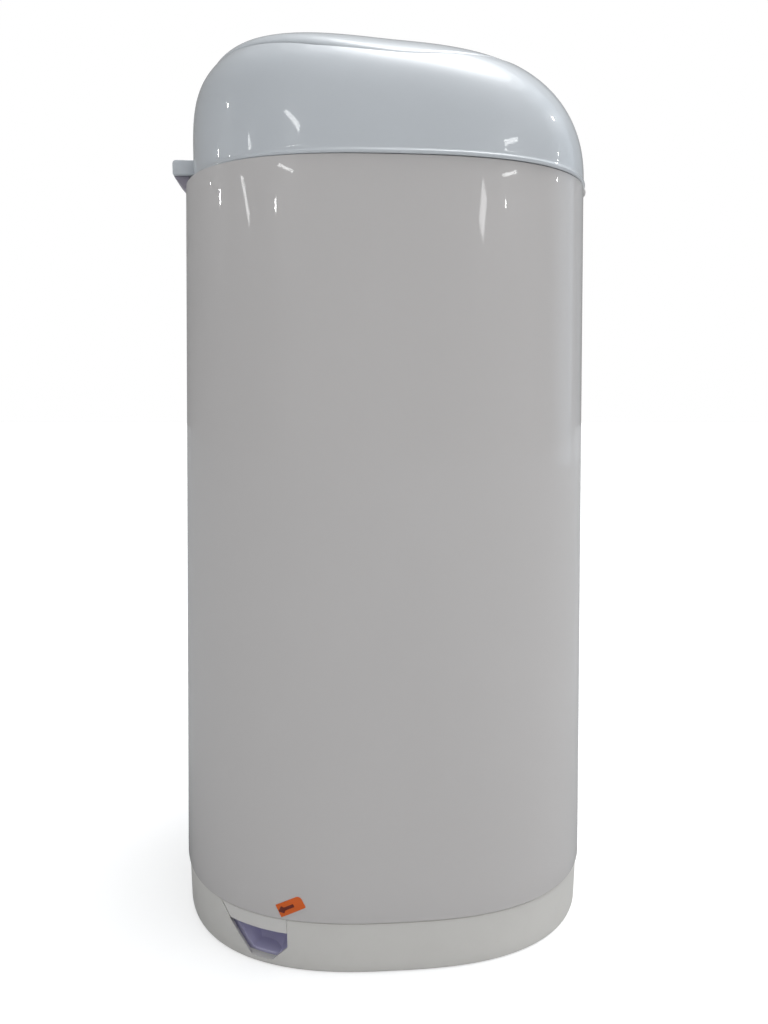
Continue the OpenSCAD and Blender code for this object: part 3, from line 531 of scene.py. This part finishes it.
SHELL_WHITE = moulded_plastic("shell_white_plastic", srgb(203, 207, 211), 0.3, 1500, ripple=0.06,
                              coat=0.8, mottle=0.01, wear=0.03)
BODY_WHITE = moulded_plastic("body_white_plastic", srgb(200, 196, 194), 0.3, 1500, ripple=0.06,
                             coat=0.8, dust=0.03, mottle=0.008, wear=0.03)
BASE_GREY = moulded_plastic("base_warm_grey_plastic", srgb(217, 214, 209), 0.42, 2600,
                            dust=0.06, mottle=0.008)
BAND_GREY = moulded_plastic("band_grey_plastic", srgb(220, 217, 213), 0.3, 2000, dust=0.05, mottle=0.01)
PEDAL_VIOLET = moulded_plastic("pedal_violet_plastic", srgb(200, 196, 226), 0.38, 2200,
                               dust=0.05, mottle=0.02)
LATCH_VIOLET = moulded_plastic("latch_violet_plastic", srgb(154, 148, 160), 0.36, 2200, mottle=0.02)
INNER_WHITE = moulded_plastic("inner_white_plastic", srgb(214, 215, 216), 0.4, 2400, mottle=0.03)
CASSETTE_BLUE = moulded_plastic("cassette_blue_plastic", srgb(168, 192, 210), 0.25, 1800, coat=0.2)
FILM = folded_film("refill_film", srgb(232, 238, 240))
STEEL = drawn_steel("drawn_steel", (0.56, 0.57, 0.59, 1.0))
PLATED_STEEL = drawn_steel("plated_sheet_steel", (0.60, 0.60, 0.60, 1.0), 0.36, (0.05, 1, 1))
RUBBER = moulded_rubber("pad_rubber", srgb(74, 74, 78))
SEAL_RUBBER = moulded_rubber("seal_rubber", srgb(120, 122, 128))
LABEL_ORANGE = printed_label("label_orange_vinyl", srgb(222, 96, 10))
MARK_DARK = printed_label("arrow_dark_ink", srgb(112, 32, 8))


# --- body and base ---

def hinge_slot(front):
    """Cutter for the head hinge's knuckles, across the seam at the back."""
    half_x, below, above, back = 38.5, 2.5, 6.5, 145
    return block((-half_x, front, SEAM_Z - below), (half_x, back, SEAM_Z + above))


def make_body():
    """Tapered wall with a bead rolled round its lower edge and a softened rim."""
    tuck, rim, inner, start = 2.8, 0.4, 0.6, 0.8
    rows = [body_ring(BASE_H + BODY_BEAD * (1 - math.cos(a)), tuck * (math.sin(a) - 1)) for a in arc(10)]
    rows += [body_ring(z) for z in np.linspace(BASE_H + BODY_BEAD, SEAM_Z - rim, 48)[1:]]
    rows += [body_ring(SEAM_Z - rim + rim * math.sin(a), -rim * (1 - math.cos(a))) for a in arc(7)[1:]]
    rows += [body_ring(SEAM_Z - inner * (1 - math.cos(a)), -BODY_WALL + inner * (1 - math.sin(a)))
             for a in arc(4)]
    rows += [body_ring(z, -BODY_WALL) for z in np.linspace(SEAM_Z - start, BASE_H, 20)]
    body = rings_to_object("body_skin", rows, "loop")
    carve(body, hinge_slot(126))
    return finish_piece(body, "housing", BODY_WHITE, ["body_shell"])


# Toe opening and the slanted part of it under the band, as along and up in the pedal's frame
KEYSTONE = [(-29.5, 34), (-4.3, 4), (11, 4), (21.7, 14.8), (21.7, 35), (-30.4, 35)]
UNDER_BAND = [(-21.2, 24.1), (-4.3, 4), (11, 4), (15, 8), (15, 24.1)]

# Screw posts and grip pads in plan, and a post's section as radius and height
POSTS = [(-85, -85), (-85, 85), (85, 85), (58, -108)]
PADS = [(-82.5, -89.75), (-82.5, 89.75), (82.5, 89.75), (22, -121.75)]
POST = [(CENTRE_R, 2.6), (6.0, 2.6), (5.0, 5.0), (5.0, 43.4), (4.4, 44), (1.9, 44), (1.55, 43.6),
        (1.55, 30), (CENTRE_R, 30)]
PAD_RECESS_R, PAD_RECESS_H = 12, 1.5


def base_rows():
    """Rings of the base: out along its underside, up its wall, round the stepped rim that stands
    inside the body, and down to the top of its floor."""
    foot, top, chamfer, floor_top = 2.0, 0.4, 0.8, 3.0
    rim_out = BASE_INSET - BODY_WALL - 0.3

    def rim_ring(z, out):
        return ring(FOOT_HX - BASE_INSET + out, FOOT_HY - BASE_INSET + out, z)

    rows = [ring(FOOT_HX * s, FOOT_HY * s, 0.0) for s in (0.15, 0.4, 0.7, 0.93)]
    rows += [base_ring(foot * (1 - math.cos(a)), foot * (math.sin(a) - 1)) for a in arc(9)]
    rows += [base_ring(z) for z in np.linspace(foot, BASE_H - top, 12)[1:]]
    rows += [base_ring(BASE_H - top + top * math.sin(a), -top * (1 - math.cos(a))) for a in arc(5)[1:]]
    rows += [rim_ring(BASE_H, rim_out), rim_ring(SPIGOT_TOP - chamfer, rim_out)]
    rows += [rim_ring(SPIGOT_TOP, rim_out - chamfer), rim_ring(SPIGOT_TOP, rim_out - BASE_WALL)]
    rows += [rim_ring(BASE_H, rim_out - BASE_WALL)]
    rows += [base_ring(z, -BASE_WALL) for z in (BASE_H - BASE_WALL, 16.0, floor_top)]
    rows += [ring(FOOT_HX * s, FOOT_HY * s, floor_top) for s in (0.9, 0.6, 0.3)]
    return rows


def base_cutters():
    """Cutters for the keystone opening, its slanted jamb, the floor under the pedal and the pads."""
    inward, along = np.append(INWARD, 0.0), np.append(ALONG, 0.0)
    reach, out, lean = 6, 1, 4.2
    hole = prism(pedal_outline(KEYSTONE), inward * reach, inward * -reach)
    flare = prism(pedal_outline(UNDER_BAND), inward * reach - along * lean, inward * -out)
    left, right, depth, wall = -28, 26, 45.0, 5.3
    edge = pedal_point(np.linspace(left, right, 40), 0.0, 0.0)
    edge = meet_skin(edge, -INWARD, FOOT_HX - wall, FOOT_HY - wall)
    back = pedal_point(np.array([right, left], float), depth, 0.0)
    floor_hole = prism(np.vstack([edge, back]), (0, 0, -1), (0, 0, 4))
    recess = [(CENTRE_R, -1), (PAD_RECESS_R, -1), (PAD_RECESS_R, PAD_RECESS_H), (CENTRE_R, PAD_RECESS_H)]
    return [hole, flare, floor_hole] + [lathe("cutter", recess, p, 64) for p in PADS]


def make_base():
    """Shallow cup with a rounded foot, a stepped rim inside the body, and screw posts."""
    base = rings_to_object("base_cup", base_rows())
    for cutter in base_cutters():
        carve(base, cutter)
    join_into(base, [lathe("post", POST, p, 48) for p in POSTS])
    return finish_piece(base, "housing", BASE_GREY, ["base"])


def slab(name, face_point, thickness_point, rows, cols):
    """Closed plate between two matching grids: u and v run from 0 to 1 over the face."""
    u, v = np.meshgrid(np.linspace(0, 1, cols), np.linspace(0, 1, rows))
    front, back = face_point(u, v), thickness_point(u, v)
    points = np.vstack([front.reshape(-1, 3), back.reshape(-1, 3)])
    r, k = np.meshgrid(np.arange(rows - 1), np.arange(cols - 1), indexing="ij")
    a = (r * cols + k).ravel()
    quads = np.stack([a, a + 1, a + cols + 1, a + cols], -1)
    shift = rows * cols
    faces = quads.tolist() + (quads[:, ::-1] + shift).tolist()
    low, high = np.arange(cols), np.arange(cols) + (rows - 1) * cols
    left, right = np.arange(rows) * cols, np.arange(rows) * cols + cols - 1
    border = np.concatenate([low[:-1], right[:-1], high[:0:-1], left[:0:-1]])
    n = np.roll(border, -1)
    faces += np.stack([n, border, border + shift, n + shift], -1).tolist()
    return add_mesh(name, points, faces)


def make_band():
    """The band that closes the top of the keystone: a piece of the base's own skin, its left end on
    the slant, with every edge rounded."""
    low, high, left_end, right_end = 24.2, BASE_H, -29.0, 21.45
    (x0, z0), (x1, z1) = KEYSTONE[:2]
    slant = (x1 - x0) / (z0 - z1)

    def on_skin(u, v, out):
        z = low + (high - low) * v
        left = left_end + slant * (high - z)
        s = left + (right_end - left) * u
        return meet_skin(pedal_point(s, 0.0, z), -INWARD, *base_half_sizes(z, out))

    band = slab("pedal_band", lambda u, v: on_skin(u, v, 0.0), lambda u, v: on_skin(u, v, -BASE_WALL),
                12, 48)
    round_edges(band, 0.7, 3, math.radians(40))
    return finish_piece(band, "housing", BAND_GREY, ["pedal_surround"])


# --- arrow label ---

# The label's place, its turn round the body and its tilt; the height and the top of label and arrow
LABEL_AT = np.array([130.8, -67.3, 44.5])
LABEL_TURN, LABEL_TILT = math.radians(74), math.radians(28)
LABEL_FACES, ARROW_FACES = (0.05, 0.42), (0.44, 0.6)
LABEL_HALF_L, LABEL_HALF_H, LABEL_CORNER = 9.0, 4.25, 3.0
ARROW_HALF, ARROW_TIP, ARROW_WING, ARROW_LINE, ARROW_SHIFT = 4.0, 3.4, 2.7, 1, (-1.5, 0)
CRISP = 0.3


def on_label(plan, out):
    """A flat drawing laid on the body: tilted, stood upright, then pushed on to the tapered skin."""
    c, s = math.cos(LABEL_TILT), math.sin(LABEL_TILT)
    a, b = c * plan[:, 0] - s * plan[:, 1], s * plan[:, 0] + c * plan[:, 1]
    level = (math.cos(LABEL_TURN), math.sin(LABEL_TURN), 0)
    points = LABEL_AT + a[:, None] * level + b[:, None] * (0, 0, 1)
    outward = np.array([math.sin(LABEL_TURN), -math.cos(LABEL_TURN)])
    return meet_skin(points, outward, *body_half_sizes(points[:, 2], out))


def sticker(name, outline, low, high):
    """Thin closed plate: rings spread from its middle to the outline underneath, and shrink back to
    it on top, where they are a little smaller."""
    outline = np.asarray(outline, float)
    middle = outline.mean(0)
    shares, edge, less = (0.1, 0.3, 0.5, 0.7, 0.85, 0.95, 1.0), 0.06, 0.004

    def at(share, out):
        return on_label(middle + (outline - middle) * share, out)

    rows = [at(s, low) for s in shares] + [at(1.0, high - edge)]
    rows += [at(s - less, high) for s in shares[::-1]]
    return rings_to_object(name, rows)


def densify(outline, step):
    """Splits an outline's sides into pieces no longer than step."""
    outline = np.asarray(outline, float)
    parts = []
    for a, b in zip(outline, np.roll(outline, -1, 0)):
        n = max(1, int(math.ceil(np.linalg.norm(b - a) / step)))
        parts.append(a + (b - a) * (np.arange(n) / n)[:, None])
    return np.vstack(parts)


def make_label():
    """Orange sticker with one large round corner, and a plain arrow on it that points to the pedal."""
    l, h = LABEL_HALF_L, LABEL_HALF_H
    corners = soft_profile([(-l, -h), (l, -h), (l, h), (-l, h)], (CRISP, CRISP, LABEL_CORNER, CRISP), 8)
    label = sticker("arrow_label_vinyl", densify(corners, 0.7), *LABEL_FACES)
    finish_piece(label, "housing", LABEL_ORANGE, ["arrow_label"])
    end, wing, line = ARROW_HALF, ARROW_WING, ARROW_LINE
    arrow = [(-end - ARROW_TIP, 0), (-end, -wing), (-end, -line), (end, -line), (end, line),
             (-end, line), (-end, wing)]
    arrow = soft_profile(arrow, (CRISP, CRISP, 0, CRISP, CRISP, 0, CRISP), 4) + ARROW_SHIFT
    mark = sticker("arrow_mark_ink", densify(arrow, 0.5), *ARROW_FACES)
    return finish_piece(mark, "housing", MARK_DARK, ["arrow_mark"])


# --- head and lid ---

# Bead round the head's lower edge, as outward and upward from the foot of the wall
HEAD_BEAD = [(-1.0, -0.3), (-0.3, -0.28), (0.3, -0.1), (0.66, 0.25), (0.83, 0.65), (0.87, 0.95),
             (0.8, 1.25), (0.58, 1.6), (0.32, 1.95), (0.13, 2.4), (0.03, 2.9)]
LATCH_SLOT = ((-5.6, -135, 499.4), (5.6, -119, 504.6))

# Section of the lid's seal, as a share of the lid's outline and a depth under the lid
SEAL = [(0.9630, 4.4), (0.9640, 3.4), (0.9550, 1.6), (0.9640, 0.12),
        (0.9225, 0.12), (0.9320, 1.6), (0.9460, 3.0), (0.9570, 4.4)]


def make_head():
    """Domed cover: up the outside, over the rolled rim round the lid, and down the inside."""
    rim = 0.7
    rows = [ring(HEAD_HX + out, HEAD_HY + out, DOME_Z + up, HEAD_CY) for out, up in HEAD_BEAD]
    rows += [r for r in cover_rows(64, 0.0, LID_GAP + rim) if r[:, 2].min() > rows[-1][:, 2].max()]
    rows += [cover_ring(1.0, 0.0, LID_GAP + rim * (1 - math.sin(a)), rim * (1 - math.cos(a)))
             for a in arc(7)[1:]]
    rows += [cover_ring(1.0, 0.0, LID_GAP, RIM_DROP)]
    rows += cover_rows(24, HEAD_WALL, LID_GAP + 0.6 * HEAD_WALL)[::-1]
    head = rings_to_object("head_cover", rows, "loop")
    carve(head, hinge_slot(118))
    carve(head, block(*LATCH_SLOT))
    return finish_piece(head, "head", SHELL_WHITE, ["head_shell"])


def make_lid():
    """Lid that follows the dome and stands proud at the front: under its inner face, round its soft
    edge, and over its top. It is a little wider than its outline all round but at the back."""
    thin, proud, under, drop, wider, reach = 1.8, 5.5, 0.35, 0.8, 1.4, 60
    inner, corner, bunch = 0.965, 0.9912, 0.9
    soft = (thin + proud * np.maximum(0, lid_rise(lid_plan(1.0)[1])) / RISE_FRONT) / LID_HX
    out = wider * np.clip((reach - lid_plan(1.0)[1]) / reach, 0, 1)
    rows = [lid_ring(s, LID_WALL, 0.0, out)
            for s in np.sin(np.linspace(0.02, math.pi / 2, 24)) ** bunch * inner]
    rows += [lid_ring(corner, 0.0, 1.0, out)]
    rows += [lid_ring(1 - under * (1 - math.sin(a)) / LID_HX, under * (math.cos(a) - 1), 1.0, out)
             for a in arc(4)]
    rows += [lid_ring(1 - soft * (1 - math.cos(a)), 0.0, drop * (1 - math.sin(a)), out) for a in arc(14)]
    rows += [lid_ring((1 - soft) * s, 0.0, 0.0, out)
             for s in np.sin(np.linspace(math.pi / 2, 0.02, 60)[1:]) ** bunch]
    lid = rings_to_object("lid_cover", rows)
    return finish_piece(lid, "lid", SHELL_WHITE, ["lid_shell"])


def make_seal():
    """Soft seal under the lid's front and sides: a foot against the lid, and a lip that leans outward."""
    seal = rings_to_object("lid_soft_seal", [lid_ring(s, LID_WALL + d) for s, d in SEAL], "loop")
    carve(seal, block((-LID_HX, SEAL_BACK, SEAM_Z), (LID_HX, 2 * LID_HY, SEAM_Z + 2 * DOME_H)))
    return finish_piece(seal, "lid", SEAL_RUBBER, ["lid_seal"])


# --- cassette, throat and springs ---

# Sections of tub and funnel, as radius and height, each with the roundings of its corners
TUB = [(68, 508), (90, 508), (90, 538), (88, 538), (88, 510), (70, 510), (70, 538), (68, 538)]
TUB_ROUND = (1.2, 1.6, 0.6, 0.6, 1.0, 1.0, 0.6, 0.6)
FUNNEL = [(58, 499), (60.5, 499), (60.5, 534), (68, 538), (92, 538), (92, 540.5), (67, 540.5), (58, 535.5)]
FUNNEL_ROUND = (0.8, 0.8, 3, 3, 0.8, 1.0, 6, 4)

# The film's ring: radius and height of its middle, half its width and height, and the folds' depth
FILM_R, FILM_Z, FILM_HALF_W, FILM_HALF_H, FOLD = 79.0, 521.5, 7.8, 10.6, 0.45

# Coils round the flap pins: wire and coil radius, turns, length, and where their middles lie
WIRE_R, COIL_R, COIL_TURNS, COIL_LENGTH = 0.42, 2.35, 4.5, 4.6
COIL_X, COIL_FROM_THROAT, COIL_Z = 62, 17.5, 489


def make_cassette():
    """Round tub between two walls, with rolled rims."""
    tub = lathe("refill_tub", soft_profile(TUB, TUB_ROUND), THROAT)
    return finish_piece(tub, "head", CASSETTE_BLUE, ["cassette_tub"])


def make_film():
    """Film stored in the tub: a fat ring whose top and sides ripple in gathered folds; the ripple is a
    sum of waves round the ring and up the section, which is a superellipse of power 5."""
    v = np.arange(72) * 2 * math.pi / 72
    t = np.arange(720) * 2 * math.pi / 720
    v, t = np.meshgrid(v, t, indexing="ij")
    c, s = np.cos(v), np.sin(v)
    edge = (np.abs(c) ** 5 + np.abs(s) ** 5) ** -0.2
    gather = (0.45 * np.sin(84 * t + 2 * np.sin(7 * t)) + 0.3 * np.sin(131 * t + 5 * v)
              + 0.25 * np.sin(12 * v + 3 * np.sin(9 * t)))
    r = FILM_R + (FILM_HALF_W + FOLD * gather) * edge * c
    z = FILM_Z + (FILM_HALF_H + gather) * edge * s
    rings = np.stack([THROAT[0] + r * np.cos(t), THROAT[1] + r * np.sin(t), z], -1)
    film = rings_to_object("refill_film_folds", rings, "loop")
    return finish_piece(film, "head", FILM, ["cassette_film"], sharp=70)


def make_funnel():
    """Straight throat that flares into a wide rim with a rolled edge."""
    funnel = lathe("throat_funnel_moulding", soft_profile(FUNNEL, FUNNEL_ROUND, 8), THROAT, 256)
    return finish_piece(funnel, "head", INNER_WHITE, ["throat_funnel"])


def make_coil(side, end):
    """A wire of round section wound as a helix along Y, both ends closed."""
    f = np.linspace(0, 1, 180)
    a = f * COIL_TURNS * 2 * math.pi
    y = THROAT[1] + end * COIL_FROM_THROAT + (f - 0.5) * COIL_LENGTH
    centre = np.stack([side * COIL_X + COIL_R * np.cos(a), y, COIL_Z + COIL_R * np.sin(a)], -1)
    out = np.stack([np.cos(a), np.zeros_like(a), np.sin(a)], -1)
    forward = np.gradient(centre, axis=0)
    forward /= np.linalg.norm(forward, axis=1)[:, None]
    across = np.cross(forward, out)
    v = np.arange(12) * 2 * math.pi / 12
    rings = centre[:, None] + WIRE_R * (np.cos(v)[None, :, None] * out[:, None]
                                        + np.sin(v)[None, :, None] * across[:, None])
    return rings_to_object("coil", rings)


def make_springs():
    """Torsion coils round both ends of both flap pins."""
    springs, *others = [make_coil(side, end) for side in (-1, 1) for end in (-1, 1)]
    springs.name = "flap_torsion_coils"
    join_into(springs, others)
    return finish_piece(springs, "head", STEEL, ["flap_springs"])


make_body()
make_base()
make_band()
make_label()
make_head()
make_lid()
make_seal()
make_cassette()
make_film()
make_funnel()
make_springs()

# CAD node, piece name, edge rounding, body, slot and finish
SOFTENED = [
    ("pedal_cup", "pedal_toe_cup", 0.5, "pedal", "violet", PEDAL_VIOLET),
    ("pedal_lever", "pedal_lever_bar", 0.5, "pedal", "steel", PLATED_STEEL),
    ("axle_brackets", "axle_bracket_pair", 0.4, "housing", "warm_grey", BASE_GREY),
    ("pedal_axle", "pedal_axle_rod", 0.5, "housing", "steel", STEEL),
    ("front_lip", "front_finger_lip", 0.7, "head", "white_gloss", SHELL_WHITE),
    ("latch_button", "latch_wedge", 0.5, "latch", "dark_violet", LATCH_VIOLET),
    ("latch_keeper", "latch_keeper_block", 0.4, "housing", "inner_white", INNER_WHITE),
    ("body_floor", "inner_floor_plate", 0.5, "housing", "inner_white", INNER_WHITE),
    ("rod_guides", "rod_guide_blocks", 0.5, "housing", "inner_white", INNER_WHITE),
    ("lift_rod", "lift_rod_and_arm", 0.5, "lift_rod", "steel", STEEL),
    ("plunger", "plunger_rod", 0.4, "plunger", "steel", STEEL),
    ("body_hinge_leaf", "body_hinge_plate", 0.4, "housing", "steel", PLATED_STEEL),
    ("head_hinge_leaf", "head_hinge_plates", 0.4, "head", "steel", PLATED_STEEL),
    ("head_hinge_pin", "head_hinge_rod", 0.4, "housing", "steel", STEEL),
    ("head_frame", "head_stiffening_ring", 0.4, "head", "inner_white", INNER_WHITE),
    ("head_tray", "head_tray_plate", 0.4, "head", "inner_white", INNER_WHITE),
    ("flap_frame", "flap_collar", 0.4, "head", "inner_white", INNER_WHITE),
    ("trap_flap_left", "trap_flap_plate_left", 0.5, "flap_left", "inner_white", INNER_WHITE),
    ("trap_flap_right", "trap_flap_plate_right", 0.5, "flap_right", "inner_white", INNER_WHITE),
    ("flap_pins", "flap_pin_rods", 0.3, "head", "steel", STEEL),
    ("lid_hinge_bracket", "lid_hinge_posts", 0.5, "head", "inner_white", INNER_WHITE),
    ("lid_hinge_pin", "lid_hinge_rod", 0.4, "head", "steel", STEEL),
    ("lid_hinge_arms", "lid_hinge_lugs", 0.3, "lid", "inner_white", INNER_WHITE),
    ("floor_screws", "floor_screw_set", 0.3, "housing", "steel", STEEL),
    ("tray_screws", "tray_screw_set", 0.3, "head", "steel", STEEL),
    ("grip_pads", "grip_pad_set", 0.4, "housing", "rubber", RUBBER),
]
for row in SOFTENED:
    softened(*row)


# --- camera, light and floor ---

# Height that the lamps face and how far off they are, in metres, and the small lamps' radiance
LAMP_AIM_Z, LAMP_AWAY, LAMP_RADIANCE = 0.45, 3.0, 60

# Way that the overhead suns shine, and their colour
CEILING_TOWARDS, CEILING_TINT = (0.05, -0.26, -0.965), (0.955, 0.98, 1.0)

# Spread in degrees and strength of each overhead sun: together they make one soft highlight
CEILING_SUNS = ((100, 0.3), (70, 0.4), (52, 0.6), (40, 0.7), (30, 0.44), (20, 0.2))

# Windows: lift of their tops in degrees, and colour; then each one's name, turn, width and distance in
# metres, and radiance. They stand behind the lamps
WINDOW_TOP, WINDOW_TINT = 42, (0.75, 0.88, 1.0)
WINDOWS = (("edge", 128, 2.6, 4.5, 0.12), ("near", 107, 1.9, 5.0, 0.24), ("wide", 104, 3.0, 5.5, 0.22))

# Ceiling tubes: name, turn and lift of both ends, width in metres, and radiance
TUBES = (("left", (-42, 20), (-34, 17.2), 0.07, 10), ("far_left", (-71, 16), (-64, 13), 0.05, 9),
         ("right", (52, 18.5), (44, 17), 0.08, 10), ("right_low", (32.4, 14.0), (32, 13.4), 0.14, 7))

# Small ceiling lamps: turn, lift, and width in metres
LAMPS = ((-94, 22, 0.06), (-93, 14, 0.05), (-106, 15, 0.04), (-44, 14, 0.04), (45, 14, 0.025),
         (102, 32, 0.1), (92, 17, 0.04))


def place_camera():
    """Looks along a heading and a dip, then turns about that line."""
    h, p, r = (math.radians(v) for v in (CAMERA_HEADING, CAMERA_DIP, CAMERA_ROLL))
    forward = Vector((-math.sin(h) * math.cos(p), math.cos(h) * math.cos(p), -math.sin(p)))
    level = Vector((math.cos(h), math.sin(h), 0))
    above = level.cross(forward)
    right = level * math.cos(r) + above * math.sin(r)
    up = above * math.cos(r) - level * math.sin(r)
    camera = bpy.data.cameras.new("camera")
    camera.lens, camera.sensor_width, camera.clip_start = CAMERA_LENS, 36, 0.01
    obj = bpy.data.objects.new("camera", camera)
    turn = Matrix((right, up, -forward)).transposed().to_4x4()
    obj.matrix_world = Matrix.Translation(CAMERA_AT) @ turn
    bpy.context.scene.collection.objects.link(obj)
    bpy.context.scene.camera = obj


def add_sun(name, strength, spread, towards, colour):
    """Distant light that fills a cone as wide as its spread, in degrees."""
    light = bpy.data.lights.new(name, "SUN")
    light.energy, light.angle, light.color = strength, math.radians(spread), colour
    obj = bpy.data.objects.new(name, light)
    obj.rotation_euler = Vector(towards).to_track_quat("-Z", "Y").to_euler()
    bpy.context.scene.collection.objects.link(obj)


def towards_lamp(turn, lift, away):
    """Place this many metres from the bin's middle: turn from +X round to +Y, then lift, in degrees."""
    turn, lift = math.radians(turn), math.radians(lift)
    return Vector((math.cos(turn) * math.cos(lift), math.sin(turn) * math.cos(lift), math.sin(lift))) * away


def add_tube(name, start, stop, width, radiance, colour=(1.0, 1.0, 1.0), away=LAMP_AWAY):
    """A long lamp between two directions, which only gloss sees; it faces the bin's middle."""
    a, b = towards_lamp(*start, away), towards_lamp(*stop, away)
    light = bpy.data.lights.new(name, "AREA")
    light.shape, light.size, light.size_y = "RECTANGLE", (b - a).length + width, width
    light.energy, light.color = radiance * math.pi * light.size * light.size_y, colour
    obj = bpy.data.objects.new(name, light)
    facing = (a + b).normalized()
    along = (b - a) if (b - a).length > 0.01 else Vector((0, 0, 1)).cross(facing)
    along = (along - along.dot(facing) * facing).normalized()
    turn = Matrix((along, facing.cross(along), facing)).transposed().to_4x4()
    obj.matrix_world = Matrix.Translation((a + b) / 2 + Vector((0, 0, LAMP_AIM_Z))) @ turn
    obj.visible_diffuse = obj.visible_camera = obj.visible_transmission = False
    bpy.context.scene.collection.objects.link(obj)


def set_world(colour, fill, gloss):
    """Even fill light; cameras and glass see plain white, and gloss a softer white."""
    world = bpy.data.worlds.new("studio")
    bpy.context.scene.world = world
    world.use_nodes = True
    tree = world.node_tree
    path = tree.nodes.new("ShaderNodeLightPath")
    seen = tree.nodes.new("ShaderNodeMath")
    seen.operation = "MAXIMUM"
    tree.links.new(path.outputs["Is Camera Ray"], seen.inputs[0])
    tree.links.new(path.outputs["Is Transmission Ray"], seen.inputs[1])
    last = tree.nodes["Background"]
    last.inputs["Color"].default_value, last.inputs["Strength"].default_value = colour, fill
    for chosen, strength in ((path.outputs["Is Glossy Ray"], gloss), (seen.outputs[0], 1.0)):
        shown, mix = tree.nodes.new("ShaderNodeBackground"), tree.nodes.new("ShaderNodeMixShader")
        shown.inputs["Color"].default_value = (1, 1, 1, 1)
        shown.inputs["Strength"].default_value = strength
        tree.links.new(chosen, mix.inputs["Fac"])
        tree.links.new(last.outputs[0], mix.inputs[1])
        tree.links.new(shown.outputs[0], mix.inputs[2])
        last = mix
    tree.links.new(last.outputs[0], tree.nodes["World Output"].inputs["Surface"])


def make_floor():
    """A wide pale floor that stays just under the object. Cameras see it lit up to white, but for the
    shadow on it and the dark under the foot, and gloss sees painted window light on it, paler towards the
    windows."""
    size, drop, foot_in = 9000.0, -0.2, 4.5
    corners = [(-size, -size, drop), (size, -size, drop), (size, size, drop), (-size, size, drop)]
    floor = add_mesh("studio_floor", corners, [(0, 1, 2, 3)])
    f = Finish("floor_white")
    path = f.node("ShaderNodeLightPath")
    plan = f.node("ShaderNodeSeparateXYZ", Vector=f.place)
    # Painted window light: gloss sees the floor paler towards the windows, at larger Y
    gloss = f.remap(plan.outputs["Y"], 0.1, 0.5, 0.3, 0.42)
    bounced = f.blend(path.outputs["Is Glossy Ray"], (0.62, 0.62, 0.62, 1), gloss)
    f.colour(f.blend(path.outputs["Is Camera Ray"], bounced, (0.5, 0.5, 0.5, 1)))
    f.shader.inputs["Emission Color"].default_value = (1, 1, 1, 1)
    shares = []
    for axis, half in (("X", FOOT_HX), ("Y", FOOT_HY)):
        share = f.math("ABSOLUTE", f.math("DIVIDE", plan.outputs[axis], (half - foot_in) * MM), 0)
        shares.append(f.math("POWER", share, PLAN_POWER))
    beyond = f.math("GREATER_THAN", f.math("ADD", *shares), 1.0)
    lift = f.math("MULTIPLY", path.outputs["Is Camera Ray"], f.remap(beyond, 0, 1, 0.2, 0.6))
    f.link(lift, f.shader.inputs["Emission Strength"])
    f.roughness(0.9)
    f.shader.inputs["Specular IOR Level"].default_value = 0.1
    floor.data.materials.append(f.material)


place_camera()
set_world((0.94, 0.97, 1.0, 1.0), 0.46, 0.27)
for spread, strength in CEILING_SUNS:
    add_sun(f"ceiling_light_{spread}", strength, spread, CEILING_TOWARDS, CEILING_TINT)
add_sun("room_light", 0.3, 110, (-0.93, -0.25, -0.27), (1.0, 0.99, 0.98))
for name, turn, width, away, radiance in WINDOWS:
    add_tube(f"window_{name}", (turn, WINDOW_TOP), (turn, 0), width, radiance, WINDOW_TINT, away)
for name, start, stop, width, radiance in TUBES:
    add_tube(f"tube_{name}", start, stop, width, radiance)
for turn, lift, width in LAMPS:
    add_tube(f"lamp_{turn}_{lift}", (turn, lift), (turn, lift), width, LAMP_RADIANCE)
make_floor()
bpy.context.scene.view_settings.view_transform = "Standard"
